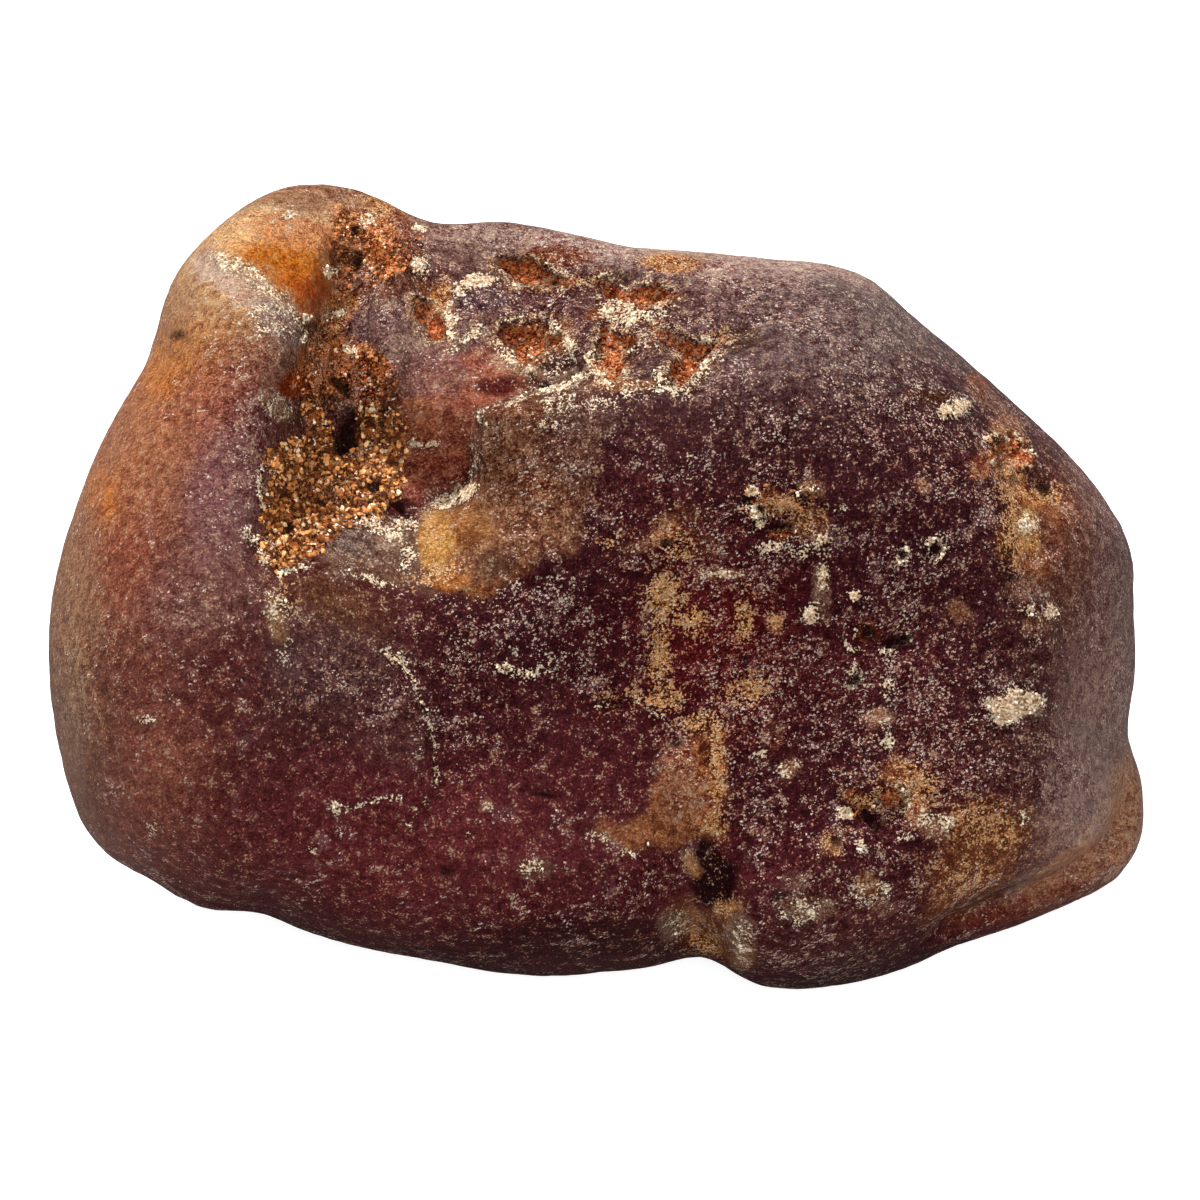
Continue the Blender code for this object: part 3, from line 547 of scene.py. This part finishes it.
def inside(x, y, outline):
    """How far inside an outline each point is, negative outside it."""
    distance = from_route(x, y, (*outline, outline[0]))
    crossings = np.zeros(x.shape, int)
    for (x1, y1), (x2, y2) in zip(outline, (*outline[1:], outline[0])):
        spans = (y1 > y) != (y2 > y)
        at = x1 + (y - y1) * (x2 - x1) / ((y2 - y1) or 1)
        crossings += spans & (x < at)
    return np.where(crossings % 2 == 1, distance, -distance)


def widest(x, y, outlines, softness, drift):
    """The strongest of the masks that a set of outlines makes."""
    made = np.zeros(x.shape)
    for outline in outlines:
        made = np.maximum(made, smooth_step(-softness, softness, inside(x, y, outline) + drift))
    return made


def outlines_of(pits):
    """The outlines of pits or holes, without their depths."""
    return [outline for outline, _ in pits]


def fringe(x, y, drift):
    """A band along the rims of the rusty pits."""
    made = np.zeros(x.shape)
    for outline in outlines_of(RUSTY_PITS):
        out_of_band = (inside(x, y, outline) + drift + FRINGE_OUTSIDE) / FRINGE_WIDTH
        made = np.maximum(made, np.exp(-(out_of_band**2)))
    return made


def grit_zone(x, y, drift):
    return smooth_step(-6, 6, inside(x, y, GRIT_OUTLINE) + 1.3 * drift)


def waves(points, length, seed):
    """Smooth noise of about -1 to 1 over points in space, with humps of the given length."""
    offset = Vector((seed, seed * 1.7, -seed))
    return np.array([noise.noise(Vector(p) / length + offset) for p in points])


# ---------------------------------------------------------------- the worn stone

# Longest edges of the worn skin, in metres.
FRONT_EDGE = 0.25 * MM
BACK_EDGE = 0.62 * MM
ROUGH_EDGE = 0.13 * MM
# How far round a mark the finest mesh reaches: in sheet units, and for a small pit in its radii.
GRIT_MARGIN = 10
MARK_MARGIN = 6
PIT_MARGIN = 1.8
# How often the long edges are cut, and how often the skin is then smoothed.
CUTTING_PASSES = 3
SMOOTHING_PASSES = 4
# Heights and depths of the relief, in millimetres.
BROAD_SWELL = 0.05
MIDDLING_SWELL = 0.04
SMALL_SWELL = 0.03
CREASE_DEPTH = 0.04
RIM_HEIGHT = 0.10
LARGE_CRUMBS = 0.20
SMALL_CRUMBS = 0.18
CRUST_HEIGHT = 0.06


def small_waves(places):
    return waves(places, 0.34 * MM, seed=4.0)


def middling_waves(places):
    return waves(places, 0.85 * MM, seed=2.0)


def edge_drift(places):
    """How far the edges of marks wander at each point, in sheet units."""
    return 6 * middling_waves(places) + 5 * small_waves(places)


def places_and_normals(work):
    work.normal_update()
    places = np.array([vertex.co[:] for vertex in work.verts])
    normals = np.array([vertex.normal[:] for vertex in work.verts])
    return places, normals


def rough_places(x, y):
    """Where the skin needs its finest mesh."""
    rough = inside(x, y, GRIT_OUTLINE) > -GRIT_MARGIN
    for outline in (*ROUGH_OUTLINES, *outlines_of(RUSTY_PITS + HOLES)):
        rough |= inside(x, y, outline) > -MARK_MARGIN
    for *spot, _ in SMALL_PITS:
        rough |= reach(x, y, *spot) < PIT_MARGIN
    return rough


def split_skin(work):
    """Cuts the skin's long edges: finest on rough places, coarsest on the back."""
    for _ in range(CUTTING_PASSES):
        work.verts.index_update()
        places, normals = places_and_normals(work)
        ends = np.array([(e.verts[0].index, e.verts[1].index) for e in work.edges])
        middles = (places[ends[:, 0]] + places[ends[:, 1]]) / 2
        lengths = np.linalg.norm(places[ends[:, 0]] - places[ends[:, 1]], axis=1)
        facing = towards_sheet(normals[ends[:, 0]] + normals[ends[:, 1]]) / 2
        x, y = on_sheet(middles)
        limits = np.where(facing > -0.1, FRONT_EDGE, BACK_EDGE)
        limits = np.where((facing > 0) & rough_places(x, y), ROUGH_EDGE, limits)
        work.edges.ensure_lookup_table()
        long_edges = [work.edges[i] for i in np.flatnonzero(lengths > limits)]
        if not long_edges:
            return
        bmesh.ops.subdivide_edges(work, edges=long_edges, cuts=1, use_grid_fill=True)
        bmesh.ops.triangulate(work, faces=work.faces[:])


def skin_relief(places, x, y, facing):
    """How far each point of the skin stands out, in millimetres."""
    front = smooth_step(0.0, 0.25, facing)
    height = BROAD_SWELL * waves(places, 2.2 * MM, seed=1.0)
    height = height + MIDDLING_SWELL * middling_waves(places) + SMALL_SWELL * small_waves(places)
    height -= CREASE_DEPTH * smooth_step(0.72, 1.0, 1 - np.abs(waves(places, 1.3 * MM, seed=3.0)))
    # The sides and the back are worn smoother.
    height *= 0.35 + 0.65 * smooth_step(0.1, 0.6, facing)
    drift = edge_drift(places)
    for outline, depth in RUSTY_PITS:
        height -= front * depth * smooth_step(-2, 5, inside(x, y, outline) + drift)
    for outline, depth in HOLES:
        height -= front * depth * smooth_step(-2, 5, inside(x, y, outline) - 1 + drift)
    for *spot, depth in SMALL_PITS:
        away = reach(x, y, *spot) * (1 + 0.06 * drift)
        height -= front * depth / (1 + np.maximum(away, 0) ** 5)
    height += RIM_HEIGHT * front * fringe(x, y, drift)
    crumbs = LARGE_CRUMBS * waves(places, 0.55 * MM, seed=6.0)
    crumbs = crumbs + SMALL_CRUMBS * waves(places, 0.25 * MM, seed=7.0)
    broken = np.maximum(grit_zone(x, y, drift), 0.9 * widest(x, y, ROUGH_OUTLINES, 6, drift))
    broken = np.maximum(broken, 0.6 * widest(x, y, outlines_of(RUSTY_PITS), 4, drift))
    height += front * broken * crumbs
    crust = painted(x, y, CREAM_DABS, CREAM_LINES)
    height += CRUST_HEIGHT * front * smooth_step(0.35, 0.8, crust + 0.04 * drift)
    return height


def place_object(name, data):
    """A new object in the scene, at the origin."""
    thing = bpy.data.objects.new(name, data)
    bpy.context.scene.collection.objects.link(thing)
    return thing


def finished(name, work):
    """An object from a bmesh, which is then freed."""
    mesh = bpy.data.meshes.new(name)
    work.to_mesh(mesh)
    work.free()
    return place_object(name, mesh)


def make_skin(node):
    """A fine copy of the stone's solid, with its facets smoothed away and its relief worked in."""
    work = bmesh.new()
    work.from_mesh(node.data)
    bmesh.ops.remove_doubles(work, verts=work.verts, dist=1e-6)
    bmesh.ops.subdivide_edges(work, edges=work.edges, cuts=1, use_grid_fill=True, smooth=1.0)
    bmesh.ops.triangulate(work, faces=work.faces[:])
    split_skin(work)
    for _ in range(SMOOTHING_PASSES):
        bmesh.ops.smooth_vert(
            work, verts=work.verts, factor=0.5, use_axis_x=True, use_axis_y=True, use_axis_z=True
        )
    places, normals = places_and_normals(work)
    x, y = on_sheet(places)
    height = skin_relief(places, x, y, towards_sheet(normals))
    # The flat that the stone rests on keeps its place.
    height *= smooth_step(0.0, 0.6 * MM, places[:, 2])
    for vertex, normal, rise in zip(work.verts, normals, height):
        vertex.co += Vector(normal) * (rise * MM)
        vertex.co.z = max(vertex.co.z, 0.0)
    skin = finished("worn_stone", work)
    skin.data.shade_smooth()
    return skin


def rows_of(mesh, field):
    """A vector that each of the mesh's points keeps, one row for each point."""
    values = np.empty(len(mesh.vertices) * 3)
    mesh.vertices.foreach_get(field, values)
    return values.reshape(-1, 3)


def paint(mesh, name, values):
    """Stores three masks, or a colour, on the mesh's points under one name."""
    layer = mesh.color_attributes.new(name, "FLOAT_COLOR", "POINT")
    four = np.ones((len(values), 4), np.float32)
    four[:, :3] = values
    layer.data.foreach_set("color", four.ravel())


def blend(body, share, colour):
    """Body colours with a share of one colour laid over them."""
    share = share[:, None]
    return body * (1 - share) + share * np.array(colour)


def body_colours(places, x, y, facing, front, drift):
    """The stone's own colours: plum, then the washes, the areas and the small patches over it."""
    body = np.tile(np.array(PLUM), (len(places), 1))
    body = blend(body, 0.4 * smooth_step(-0.1, 0.5, waves(places, 6 * MM, seed=9.0)), BURGUNDY)
    warmer = smooth_step(0.1, 0.6, waves(places, 7 * MM, seed=10.0))
    body = blend(body, 0.6 * warmer * (1 - front), BROWN_TAN)
    around = smooth_step(-0.5, 0.1, facing + 0.25 * waves(places, 2.2 * MM, seed=5.0))
    broad_drift = 12 * waves(places, 1.6 * MM, seed=8.0)
    for _, *spot, colour, strength in WASHES:
        share = dab(x + broad_drift, y + broad_drift, 1.7, spot)
        body = blend(body, strength * around * share, colour)
    for _, outline, softness, colour, strength in AREAS:
        share = smooth_step(-softness, softness, inside(x, y, outline) + drift)
        body = blend(body, strength * front * share, colour)
    for *spot, colour, strength in PATCHES:
        share = smooth_step(1.3, 0.8, reach(x, y, *spot) * (1 + 0.035 * drift))
        body = blend(body, strength * front * share, seen(*colour))
    return body


def paint_skin(skin):
    """Stores the body colour and the masks that the skin's material reads."""
    places = rows_of(skin.data, "co")
    facing = towards_sheet(rows_of(skin.data, "normal"))
    x, y = on_sheet(places)
    front = smooth_step(-0.05, 0.2, facing)
    drift = edge_drift(places)

    def keep(name, *three):
        paint(skin.data, name, np.stack(three, axis=1))

    paint(skin.data, "body_colour", body_colours(places, x, y, facing, front, drift))
    rims = fringe(x, y, drift)
    broken = 0.62 + 0.5 * smooth_step(-0.35, 0.35, waves(places, 0.45 * MM, seed=14.0))
    cream = broken * np.maximum(painted(x, y, CREAM_DABS, CREAM_LINES), 0.34 * rims)
    ochre = np.maximum(painted(x, y, OCHRE_DABS), 0.5 * rims)
    rust = widest(x, y, outlines_of(RUSTY_PITS), 4, drift)
    keep("crusts", cream * front, ochre * front, rust * front)
    grit = grit_zone(x, y, drift)
    # Where painted shade darkens the holes and small pits.
    hollow = widest(x, y, outlines_of(HOLES), 4, drift - 1)
    for *spot, _ in SMALL_PITS:
        hollow = np.maximum(hollow, 0.8 * dab(x, y, 2.0, spot))
    frost = 0.5 + 0.25 * waves(places, 3.0 * MM, seed=12.0)
    for *spot, change in FROST_DABS:
        frost += change * front * dab(x, y, 1.6, spot)
    keep("grit_hole_shade_frost", grit * front, hollow * front, np.clip(frost, 0, 1))
    dust = painted(x, y, DUST)
    rough = widest(x, y, ROUGH_OUTLINES, 6, drift)
    gloss = smooth_step(-10, 10, inside(x, y, AMBER_WINDOW))
    keep("cover", dust * front, rough * front, gloss * front)


# ---------------------------------------------------------------- material building


def feed(tree, socket, value):
    """Gives a socket another node's output, or a value of its own."""
    if isinstance(value, bpy.types.NodeSocket):
        tree.links.new(value, socket)
    else:
        socket.default_value = value


def add(tree, kind, inputs, **settings):
    """A node with its properties set and its sockets fed."""
    made = tree.nodes.new(kind)
    for name, value in settings.items():
        setattr(made, name, value)
    for name, value in inputs.items():
        feed(tree, made.inputs[name], value)
    return made


def math_node(tree, operation, *values):
    return add(tree, "ShaderNodeMath", dict(enumerate(values)), operation=operation).outputs[0]


def ramp(tree, value, low, high, to_low=0.0, to_high=1.0):
    """A smooth change from one value to another as the input goes from low to high."""
    inputs = {"Value": value, "From Min": low, "From Max": high, "To Min": to_low, "To Max": to_high}
    return add(tree, "ShaderNodeMapRange", inputs, interpolation_type="SMOOTHSTEP").outputs["Result"]


def mix(tree, factor, first, second, blend_type="MIX"):
    """Two colours mixed, each another node's output or a colour of its own."""
    inputs = {0: factor, 6: first, 7: second}
    for place in (6, 7):
        if isinstance(inputs[place], tuple):
            inputs[place] = (*inputs[place], 1)
    return add(tree, "ShaderNodeMix", inputs, data_type="RGBA", blend_type=blend_type).outputs[2]


def multiplied(tree, first, second):
    return mix(tree, 1.0, first, second, "MULTIPLY")


def cloud(tree, where, scale, detail, roughness):
    inputs = {"Vector": where, "Scale": scale, "Detail": detail, "Roughness": roughness}
    return add(tree, "ShaderNodeTexNoise", inputs).outputs["Fac"]


def parts_of(tree, colour):
    """A colour's red, green and blue, which here are often three masks."""
    return add(tree, "ShaderNodeSeparateColor", {"Color": colour}).outputs


def grey(tree, value):
    tone = {"Red": value, "Green": value, "Blue": value}
    return add(tree, "ShaderNodeCombineColor", tone).outputs["Color"]


def kept_colour(tree, name):
    """What paint stored on the mesh's points under a name."""
    return add(tree, "ShaderNodeAttribute", {}, attribute_name=name).outputs["Color"]


def shades(tree, value, stops):
    """A colour picked from a row of (place, colour) stops."""
    made = add(tree, "ShaderNodeValToRGB", {"Fac": value})
    row = made.color_ramp.elements
    for index, (place, colour) in enumerate(stops):
        stop = row[index] if index < 2 else row.new(place)
        stop.position = place
        stop.color = (*colour, 1)
    return made.outputs["Color"]


def total(tree, *terms):
    """A sum of noises, each counted from its middle and weighted."""
    value = None
    for source, weight in terms:
        share = math_node(tree, "MULTIPLY_ADD", source, weight, -0.5 * weight)
        value = share if value is None else math_node(tree, "ADD", value, share)
    return value


def bumps(tree, shader, height, strength, depth):
    """Fine relief that only the light shows."""
    inputs = {"Height": height, "Strength": strength, "Distance": depth}
    tree.links.new(add(tree, "ShaderNodeBump", inputs).outputs["Normal"], shader.inputs["Normal"])


def new_material(name):
    """A new material, its node tree and its Principled shader."""
    material = bpy.data.materials.new(name)
    material.use_nodes = True
    return material, material.node_tree, material.node_tree.nodes["Principled BSDF"]


def grain_group():
    """The stone's grain, shared by its materials: noises of three sizes and small packed grains.

    Each grain has a place in three lots, drawn at random: rank, brightness and tone.
    """
    tree = bpy.data.node_groups.new("stone_grain", "ShaderNodeTree")
    tree.interface.new_socket("Fineness", in_out="INPUT", socket_type="NodeSocketFloat")
    given = tree.nodes.new("NodeGroupInput").outputs
    coordinates = tree.nodes.new("ShaderNodeTexCoord")
    in_millimetres = {"Vector": coordinates.outputs["Object"], "Scale": (1 / MM, 1 / MM, 1 / MM)}
    where = add(tree, "ShaderNodeMapping", in_millimetres).outputs["Vector"]
    finer = {0: where, "Scale": given["Fineness"]}
    where = add(tree, "ShaderNodeVectorMath", finer, operation="SCALE").outputs[0]
    grain = cloud(tree, where, 13.0, 1.0, 0.6)
    mottle = cloud(tree, where, 3.0, 4.0, 0.7)
    broad = cloud(tree, where, 0.9, 2.0, 0.6)
    push = {0: grey(tree, mottle), 1: (0.9, -0.7, 0.8), 2: where}
    pushed = add(tree, "ShaderNodeVectorMath", push, operation="MULTIPLY_ADD").outputs[0]
    cells = add(tree, "ShaderNodeTexVoronoi", {"Vector": pushed, "Scale": 12.0}).outputs
    kernel = ramp(tree, cells["Distance"], 0.18, 0.60, 1.0, 0.0)
    lots = parts_of(tree, cells["Color"])
    size = math_node(tree, "MULTIPLY_ADD", lots["Green"], 0.30, 0.26)
    dot = ramp(tree, math_node(tree, "SUBTRACT", size, cells["Distance"]), -0.03, 0.06)
    packed = math_node(tree, "MULTIPLY_ADD", grain, 0.8, kernel)
    results = {
        "Grain": grain, "Mottle": mottle, "Broad": broad, "Packed": packed, "Kernel": kernel, "Dot": dot,
        "Rank": lots["Red"], "Brightness": lots["Green"], "Tone": lots["Blue"],
    }
    for name in results:
        tree.interface.new_socket(name, in_out="OUTPUT", socket_type="NodeSocketFloat")
    add(tree, "NodeGroupOutput", results)
    return tree


def stone_grain(tree, fineness=1.0):
    """The shared grain in a material: its outputs by name."""
    group = bpy.data.node_groups.get("stone_grain") or grain_group()
    return add(tree, "ShaderNodeGroup", {"Fineness": fineness}, node_tree=group).outputs


# ---------------------------------------------------------------- the skin's material


def frosting(tree, body, grain, frost, gloss):
    """Small pale flecks, each in a cell of its own, in drifts: where they lie, and their colour. They are
    partly pale grains and partly painted glints off the frosted facets.
    """
    crowd = total(tree, (grain["Mottle"], 1.6), (grain["Broad"], 2.8), (frost, 1.3))
    crowd = math_node(tree, "ADD", crowd, math_node(tree, "MULTIPLY_ADD", gloss, -0.35, 0.31))
    present = ramp(tree, math_node(tree, "SUBTRACT", crowd, grain["Rank"]), -0.02, 0.04)
    speck = math_node(tree, "MULTIPLY", present, grain["Dot"])
    fleck = shades(tree, grain["Brightness"], FROST_TONES)
    return speck, mix(tree, 0.12, fleck, multiplied(tree, body, BRIGHTER))


def bare_skin(tree, body, grain, frost, rough):
    """The ground under frosting and crusts: each grain has a tone, and painted shade darkens the gaps between
    them to dark red.
    """
    packed = total(
        tree, (grain["Mottle"], 1.2), (grain["Grain"], 0.7), (grain["Tone"], 0.35), (grain["Kernel"], 0.45)
    )
    evenness = ramp(tree, frost, 0.15, 0.55, 0.6, 1.0)
    smooth_shade = ramp(tree, math_node(tree, "MULTIPLY", packed, evenness), -0.42, 0.55, 0.25, 1.9)
    rough_shade = ramp(tree, packed, -0.4, 0.5, 0.12, 2.4)
    shade = add(tree, "ShaderNodeMix", {"Factor": rough, "A": smooth_shade, "B": rough_shade})
    colour = multiplied(tree, body, grey(tree, shade.outputs["Result"]))
    # Painted shade: the gaps between grains are darkened to dark red.
    gap_shade_tint = shades(tree, math_node(tree, "ADD", packed, 0.5), GAP_SHADE_TINTS)
    return mix(tree, evenness, colour, multiplied(tree, colour, gap_shade_tint))


def dusted(tree, colour, grain, dust):
    """The ground under a thin haze and streaks of dust."""
    haze = total(tree, (grain["Mottle"], 1.6), (grain["Broad"], 1.4), (grain["Grain"], 0.5))
    colour = mix(tree, ramp(tree, haze, 0.06, 0.55, 0.0, 0.32), colour, HAZE)
    streaks = total(tree, (grain["Mottle"], 2.6), (grain["Grain"], 1.4), (grain["Kernel"], 0.6))
    streaks = math_node(tree, "ADD", dust, streaks)
    return mix(tree, ramp(tree, streaks, 0.40, 1.45, 0.0, 0.75), colour, DUSTY)


def skin_material():
    material, tree, shader = new_material("frosted_garnet")
    body = kept_colour(tree, "body_colour")
    cream, ochre, rust = parts_of(tree, kept_colour(tree, "crusts"))
    grit, hollow, frost = parts_of(tree, kept_colour(tree, "grit_hole_shade_frost"))
    dust, rough, gloss = parts_of(tree, kept_colour(tree, "cover"))
    grain = stone_grain(tree)
    speck, fleck = frosting(tree, body, grain, frost, gloss)
    colour = dusted(tree, bare_skin(tree, body, grain, frost, rough), grain, dust)
    crumb = total(tree, (grain["Mottle"], 0.9), (grain["Grain"], 0.9))

    def ragged(field, low, high, reach_out):
        """A mask with a crumbly edge, from a painted field."""
        return ramp(tree, math_node(tree, "MULTIPLY_ADD", crumb, reach_out, field), low, high)

    # Rusty pit floors, ochre clay, grit and lime, one over the other.
    tone = math_node(tree, "MULTIPLY_ADD", crumb, 1.4, 0.20)
    tone = math_node(tree, "MULTIPLY_ADD", grain["Tone"], 0.26, tone)
    tone = math_node(tree, "MULTIPLY_ADD", grain["Kernel"], 0.30, tone)
    clay_tone = math_node(tree, "MULTIPLY_ADD", grain["Kernel"], 0.45, tone)
    caked = ragged(ochre, 0.34, 0.62, 2.6)
    crust = ragged(cream, 0.44, 0.60, 1.9)
    # Painted shade: a ring round the lime crust's edge is darkened.
    crust_edge_shade = ramp(tree, ragged(cream, 0.20, 0.44, 1.9), 0.0, 1.0, 1.0, 0.62)
    colour = mix(tree, ragged(rust, 0.35, 0.60, 1.2), colour, shades(tree, tone, RUST_TONES))
    colour = mix(tree, caked, colour, shades(tree, clay_tone, CLAY_TONES))
    colour = mix(tree, ragged(grit, 0.38, 0.62, 1.2), colour, shades(tree, tone, GRIT_TONES))
    colour = multiplied(tree, colour, grey(tree, crust_edge_shade))
    colour = mix(tree, crust, colour, shades(tree, tone, LIME_TONES))

    # Flecks of frosting, partly painted glints, lie over all but the clay, and painted shade darkens the
    # holes.
    not_caked = math_node(tree, "MULTIPLY_ADD", caked, -0.85, 1.0)
    colour = mix(tree, math_node(tree, "MULTIPLY", speck, not_caked), colour, fleck)
    # Painted shade, near black, in the holes and small pits, with crumbly edges.
    deep = math_node(tree, "MULTIPLY_ADD", crumb, 2.2, hollow)
    colour = mix(tree, ramp(tree, deep, 0.35, 0.95, 0.0, 0.88), colour, HOLE_SHADE)
    feed(tree, shader.inputs["Base Color"], colour)

    roughness = ramp(tree, grain["Mottle"], 0.3, 0.7, 0.45, 0.65)
    roughness = math_node(tree, "MULTIPLY", roughness, ramp(tree, gloss, 0.0, 1.0, 1.0, 0.6))
    feed(tree, shader.inputs["Roughness"], roughness)
    feed(tree, shader.inputs["Coat Weight"], math_node(tree, "MULTIPLY", gloss, 0.5))
    shader.inputs["Coat Roughness"].default_value = 0.2
    shader.inputs["Specular IOR Level"].default_value = 0.03
    height = math_node(tree, "MULTIPLY_ADD", grain["Mottle"], 1.4, grain["Packed"])
    height = math_node(tree, "MULTIPLY_ADD", speck, 0.35, height)
    height = math_node(tree, "MULTIPLY_ADD", crust, 0.5, height)
    bumps(tree, shader, height, 1.0, 0.07 * MM)
    return material


# ---------------------------------------------------------------- grit

CRUMBS_A_BATCH = 100
# How far a grain's corners stray, and how deep or high it sits in the skin, in its own radii.
STRAY = 0.4
BEDDING = (-0.2, 0.4)
# How a grain is squashed along its second and third sides.
SECOND_SIDE = (0.6, 1.0)
THIRD_SIDE = (0.5, 0.9)


def grit_material():
    material, tree, shader = new_material("cemented_grit")
    grain = stone_grain(tree)
    mottle = grey(tree, ramp(tree, grain["Mottle"], 0.3, 0.7, 0.7, 1.3))
    feed(tree, shader.inputs["Base Color"], multiplied(tree, kept_colour(tree, "grain_colour"), mottle))
    shader.inputs["Roughness"].default_value = 0.6
    shader.inputs["Specular IOR Level"].default_value = 0.2
    bumps(tree, shader, grain["Packed"], 0.6, 0.04 * MM)
    return material


def stored(mesh, name):
    """The three masks kept under a name, one row for each mask."""
    values = np.empty(len(mesh.vertices) * 4, np.float32)
    mesh.color_attributes[name].data.foreach_get("color", values)
    return values.reshape(-1, 4)[:, :3].T


def scatter(name, skin, weights, kinds, batches, smallest, spread, seed):
    """Angular grains bedded in the skin, most where the weights are high.

    The smallest radius is in millimetres, and the largest is spread times it.
    """
    chance = random.Random(seed)
    vertices = skin.data.vertices
    heap = np.cumsum(weights)
    palette = [colour for colour, share in kinds for _ in range(share)]
    gathered = bmesh.new()
    batch_mesh = bpy.data.meshes.new("batch")
    colours = []
    for _ in range(batches):
        batch = bmesh.new()
        for _ in range(CRUMBS_A_BATCH):
            vertex = vertices[int(np.searchsorted(heap, chance.random() * heap[-1]))]
            size = smallest * MM * spread ** chance.random()
            squash = Matrix.Diagonal((1.0, chance.uniform(*SECOND_SIDE), chance.uniform(*THIRD_SIDE), 1.0))
            axis = Vector((chance.random(), chance.random(), 0.5))
            turn = Matrix.Rotation(chance.uniform(0, math.tau), 4, axis)
            place = Matrix.Translation(vertex.co + vertex.normal * size * chance.uniform(*BEDDING))
            pose = place @ turn @ squash
            grain = bmesh.ops.create_icosphere(batch, subdivisions=1, radius=size, matrix=pose)
            for corner in grain["verts"]:
                push = Vector((chance.uniform(-1, 1), chance.uniform(-1, 1), chance.uniform(-1, 1)))
                corner.co += push * size * STRAY
            colours += [palette[chance.randrange(len(palette))]] * len(grain["verts"])
        batch.to_mesh(batch_mesh)
        batch.free()
        gathered.from_mesh(batch_mesh)
    bpy.data.meshes.remove(batch_mesh)
    grains = finished(name, gathered)
    paint(grains.data, "grain_colour", np.array(colours))
    return grains


def make_crumbs(skin):
    """The loose-looking grains: sand in the crevice, rusty crumbs in pits and lime crumbs on the crusts."""
    cream, _, rust = stored(skin.data, "crusts")
    grit, hollow, _ = stored(skin.data, "grit_hole_shade_frost")
    rough = stored(skin.data, "cover")[1]
    bare = hollow < 0.6
    sand = bare * (grit > 0.12) * (0.3 + grit)
    red = bare * np.maximum(rust, 0.35 * rough * (grit < 0.3)) * (np.maximum(rust, rough) > 0.3)
    lime = bare * np.clip(cream - 0.25, 0, 0.6) ** 1.3
    return (
        scatter("crevice_grit", skin, sand, SAND, batches=22, smallest=0.035, spread=3.2, seed=7),
        scatter("rusty_crumbs", skin, red, RUSTY_CRUMBS, batches=12, smallest=0.03, spread=2.6, seed=8),
        scatter("lime_crumbs", skin, lime, LIME_CRUMBS, batches=22, smallest=0.022, spread=2.8, seed=9),
    )


# ---------------------------------------------------------------- stage

# Round lamps: name, place, width and watts.
LAMPS = (
    ("overhead", (-0.10, 0.16, 0.50), 0.14, 5.45),
    ("front_fill", (0.05, -0.55, 0.35), 0.30, 3.02),
    ("left_fill", (-0.50, -0.20, 0.25), 0.20, 0.3),
)
LAMP_TARGET = (0, 0, 0.01)
# Light from all round, and the paper's own glow, which only the camera sees.
SKY_LIGHT = 0.16
PAPER_GLOW = 0.88
FLOOR_REACH = 1.5
SENSOR_WIDTH = 36
NEAREST_SEEN = 0.01


def aim(thing, place, target):
    thing.location = place
    thing.rotation_euler = (Vector(target) - Vector(place)).to_track_quat("-Z", "Y").to_euler()


def for_camera(tree, otherwise, straight):
    """One value for rays straight from the camera, and another for all other light."""
    path = tree.nodes.new("ShaderNodeLightPath")
    return ramp(tree, path.outputs["Is Camera Ray"], 0.0, 1.0, otherwise, straight)


def set_world():
    world = bpy.data.worlds.new("studio")
    bpy.context.scene.world = world
    world.use_nodes = True
    background = world.node_tree.nodes["Background"]
    background.inputs["Color"].default_value = (1, 1, 1, 1)
    feed(world.node_tree, background.inputs["Strength"], for_camera(world.node_tree, SKY_LIGHT, 1.0))


def make_floor():
    sheet = bmesh.new()
    bmesh.ops.create_grid(sheet, x_segments=1, y_segments=1, size=FLOOR_REACH)
    floor = finished("floor", sheet)
    paper, tree, shader = new_material("white_paper")
    shader.inputs["Base Color"].default_value = (0.5, 0.5, 0.5, 1)
    shader.inputs["Roughness"].default_value = 0.9
    shader.inputs["Specular IOR Level"].default_value = 0.1
    shader.inputs["Emission Color"].default_value = (1, 1, 1, 1)
    feed(tree, shader.inputs["Emission Strength"], for_camera(tree, 0.0, PAPER_GLOW))
    floor.data.materials.append(paper)


def add_lamps():
    for name, place, width, watts in LAMPS:
        lamp = bpy.data.lights.new(name, "AREA")
        lamp.shape = "DISK"
        lamp.size = width
        lamp.energy = watts
        aim(place_object(name, lamp), place, LAMP_TARGET)


def add_camera():
    camera = bpy.data.cameras.new("camera")
    camera.sensor_width = SENSOR_WIDTH
    camera.lens = SENSOR_WIDTH * EYE_DISTANCE / (SHEET_SIDE * SHEET_UNIT)
    camera.clip_start = NEAREST_SEEN
    eye = place_object("camera", camera)
    target = FACE_CENTRE + ACROSS * SIGHT_OFFSET[0] + UP_FACE * SIGHT_OFFSET[1]
    aim(eye, target + OUT_OF_FACE * EYE_DISTANCE, target)
    bpy.context.scene.camera = eye


def main():
    bpy.context.scene.view_settings.view_transform = "Standard"
    set_world()
    make_floor()
    add_lamps()
    add_camera()
    skin = make_skin(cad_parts["stone"])
    paint_skin(skin)
    skin.data.materials.append(skin_material())
    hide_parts("stone")
    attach(skin, "root")
    grit = grit_material()
    for crumbs in make_crumbs(skin):
        crumbs.data.materials.append(grit)
        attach(crumbs, "root")


main()
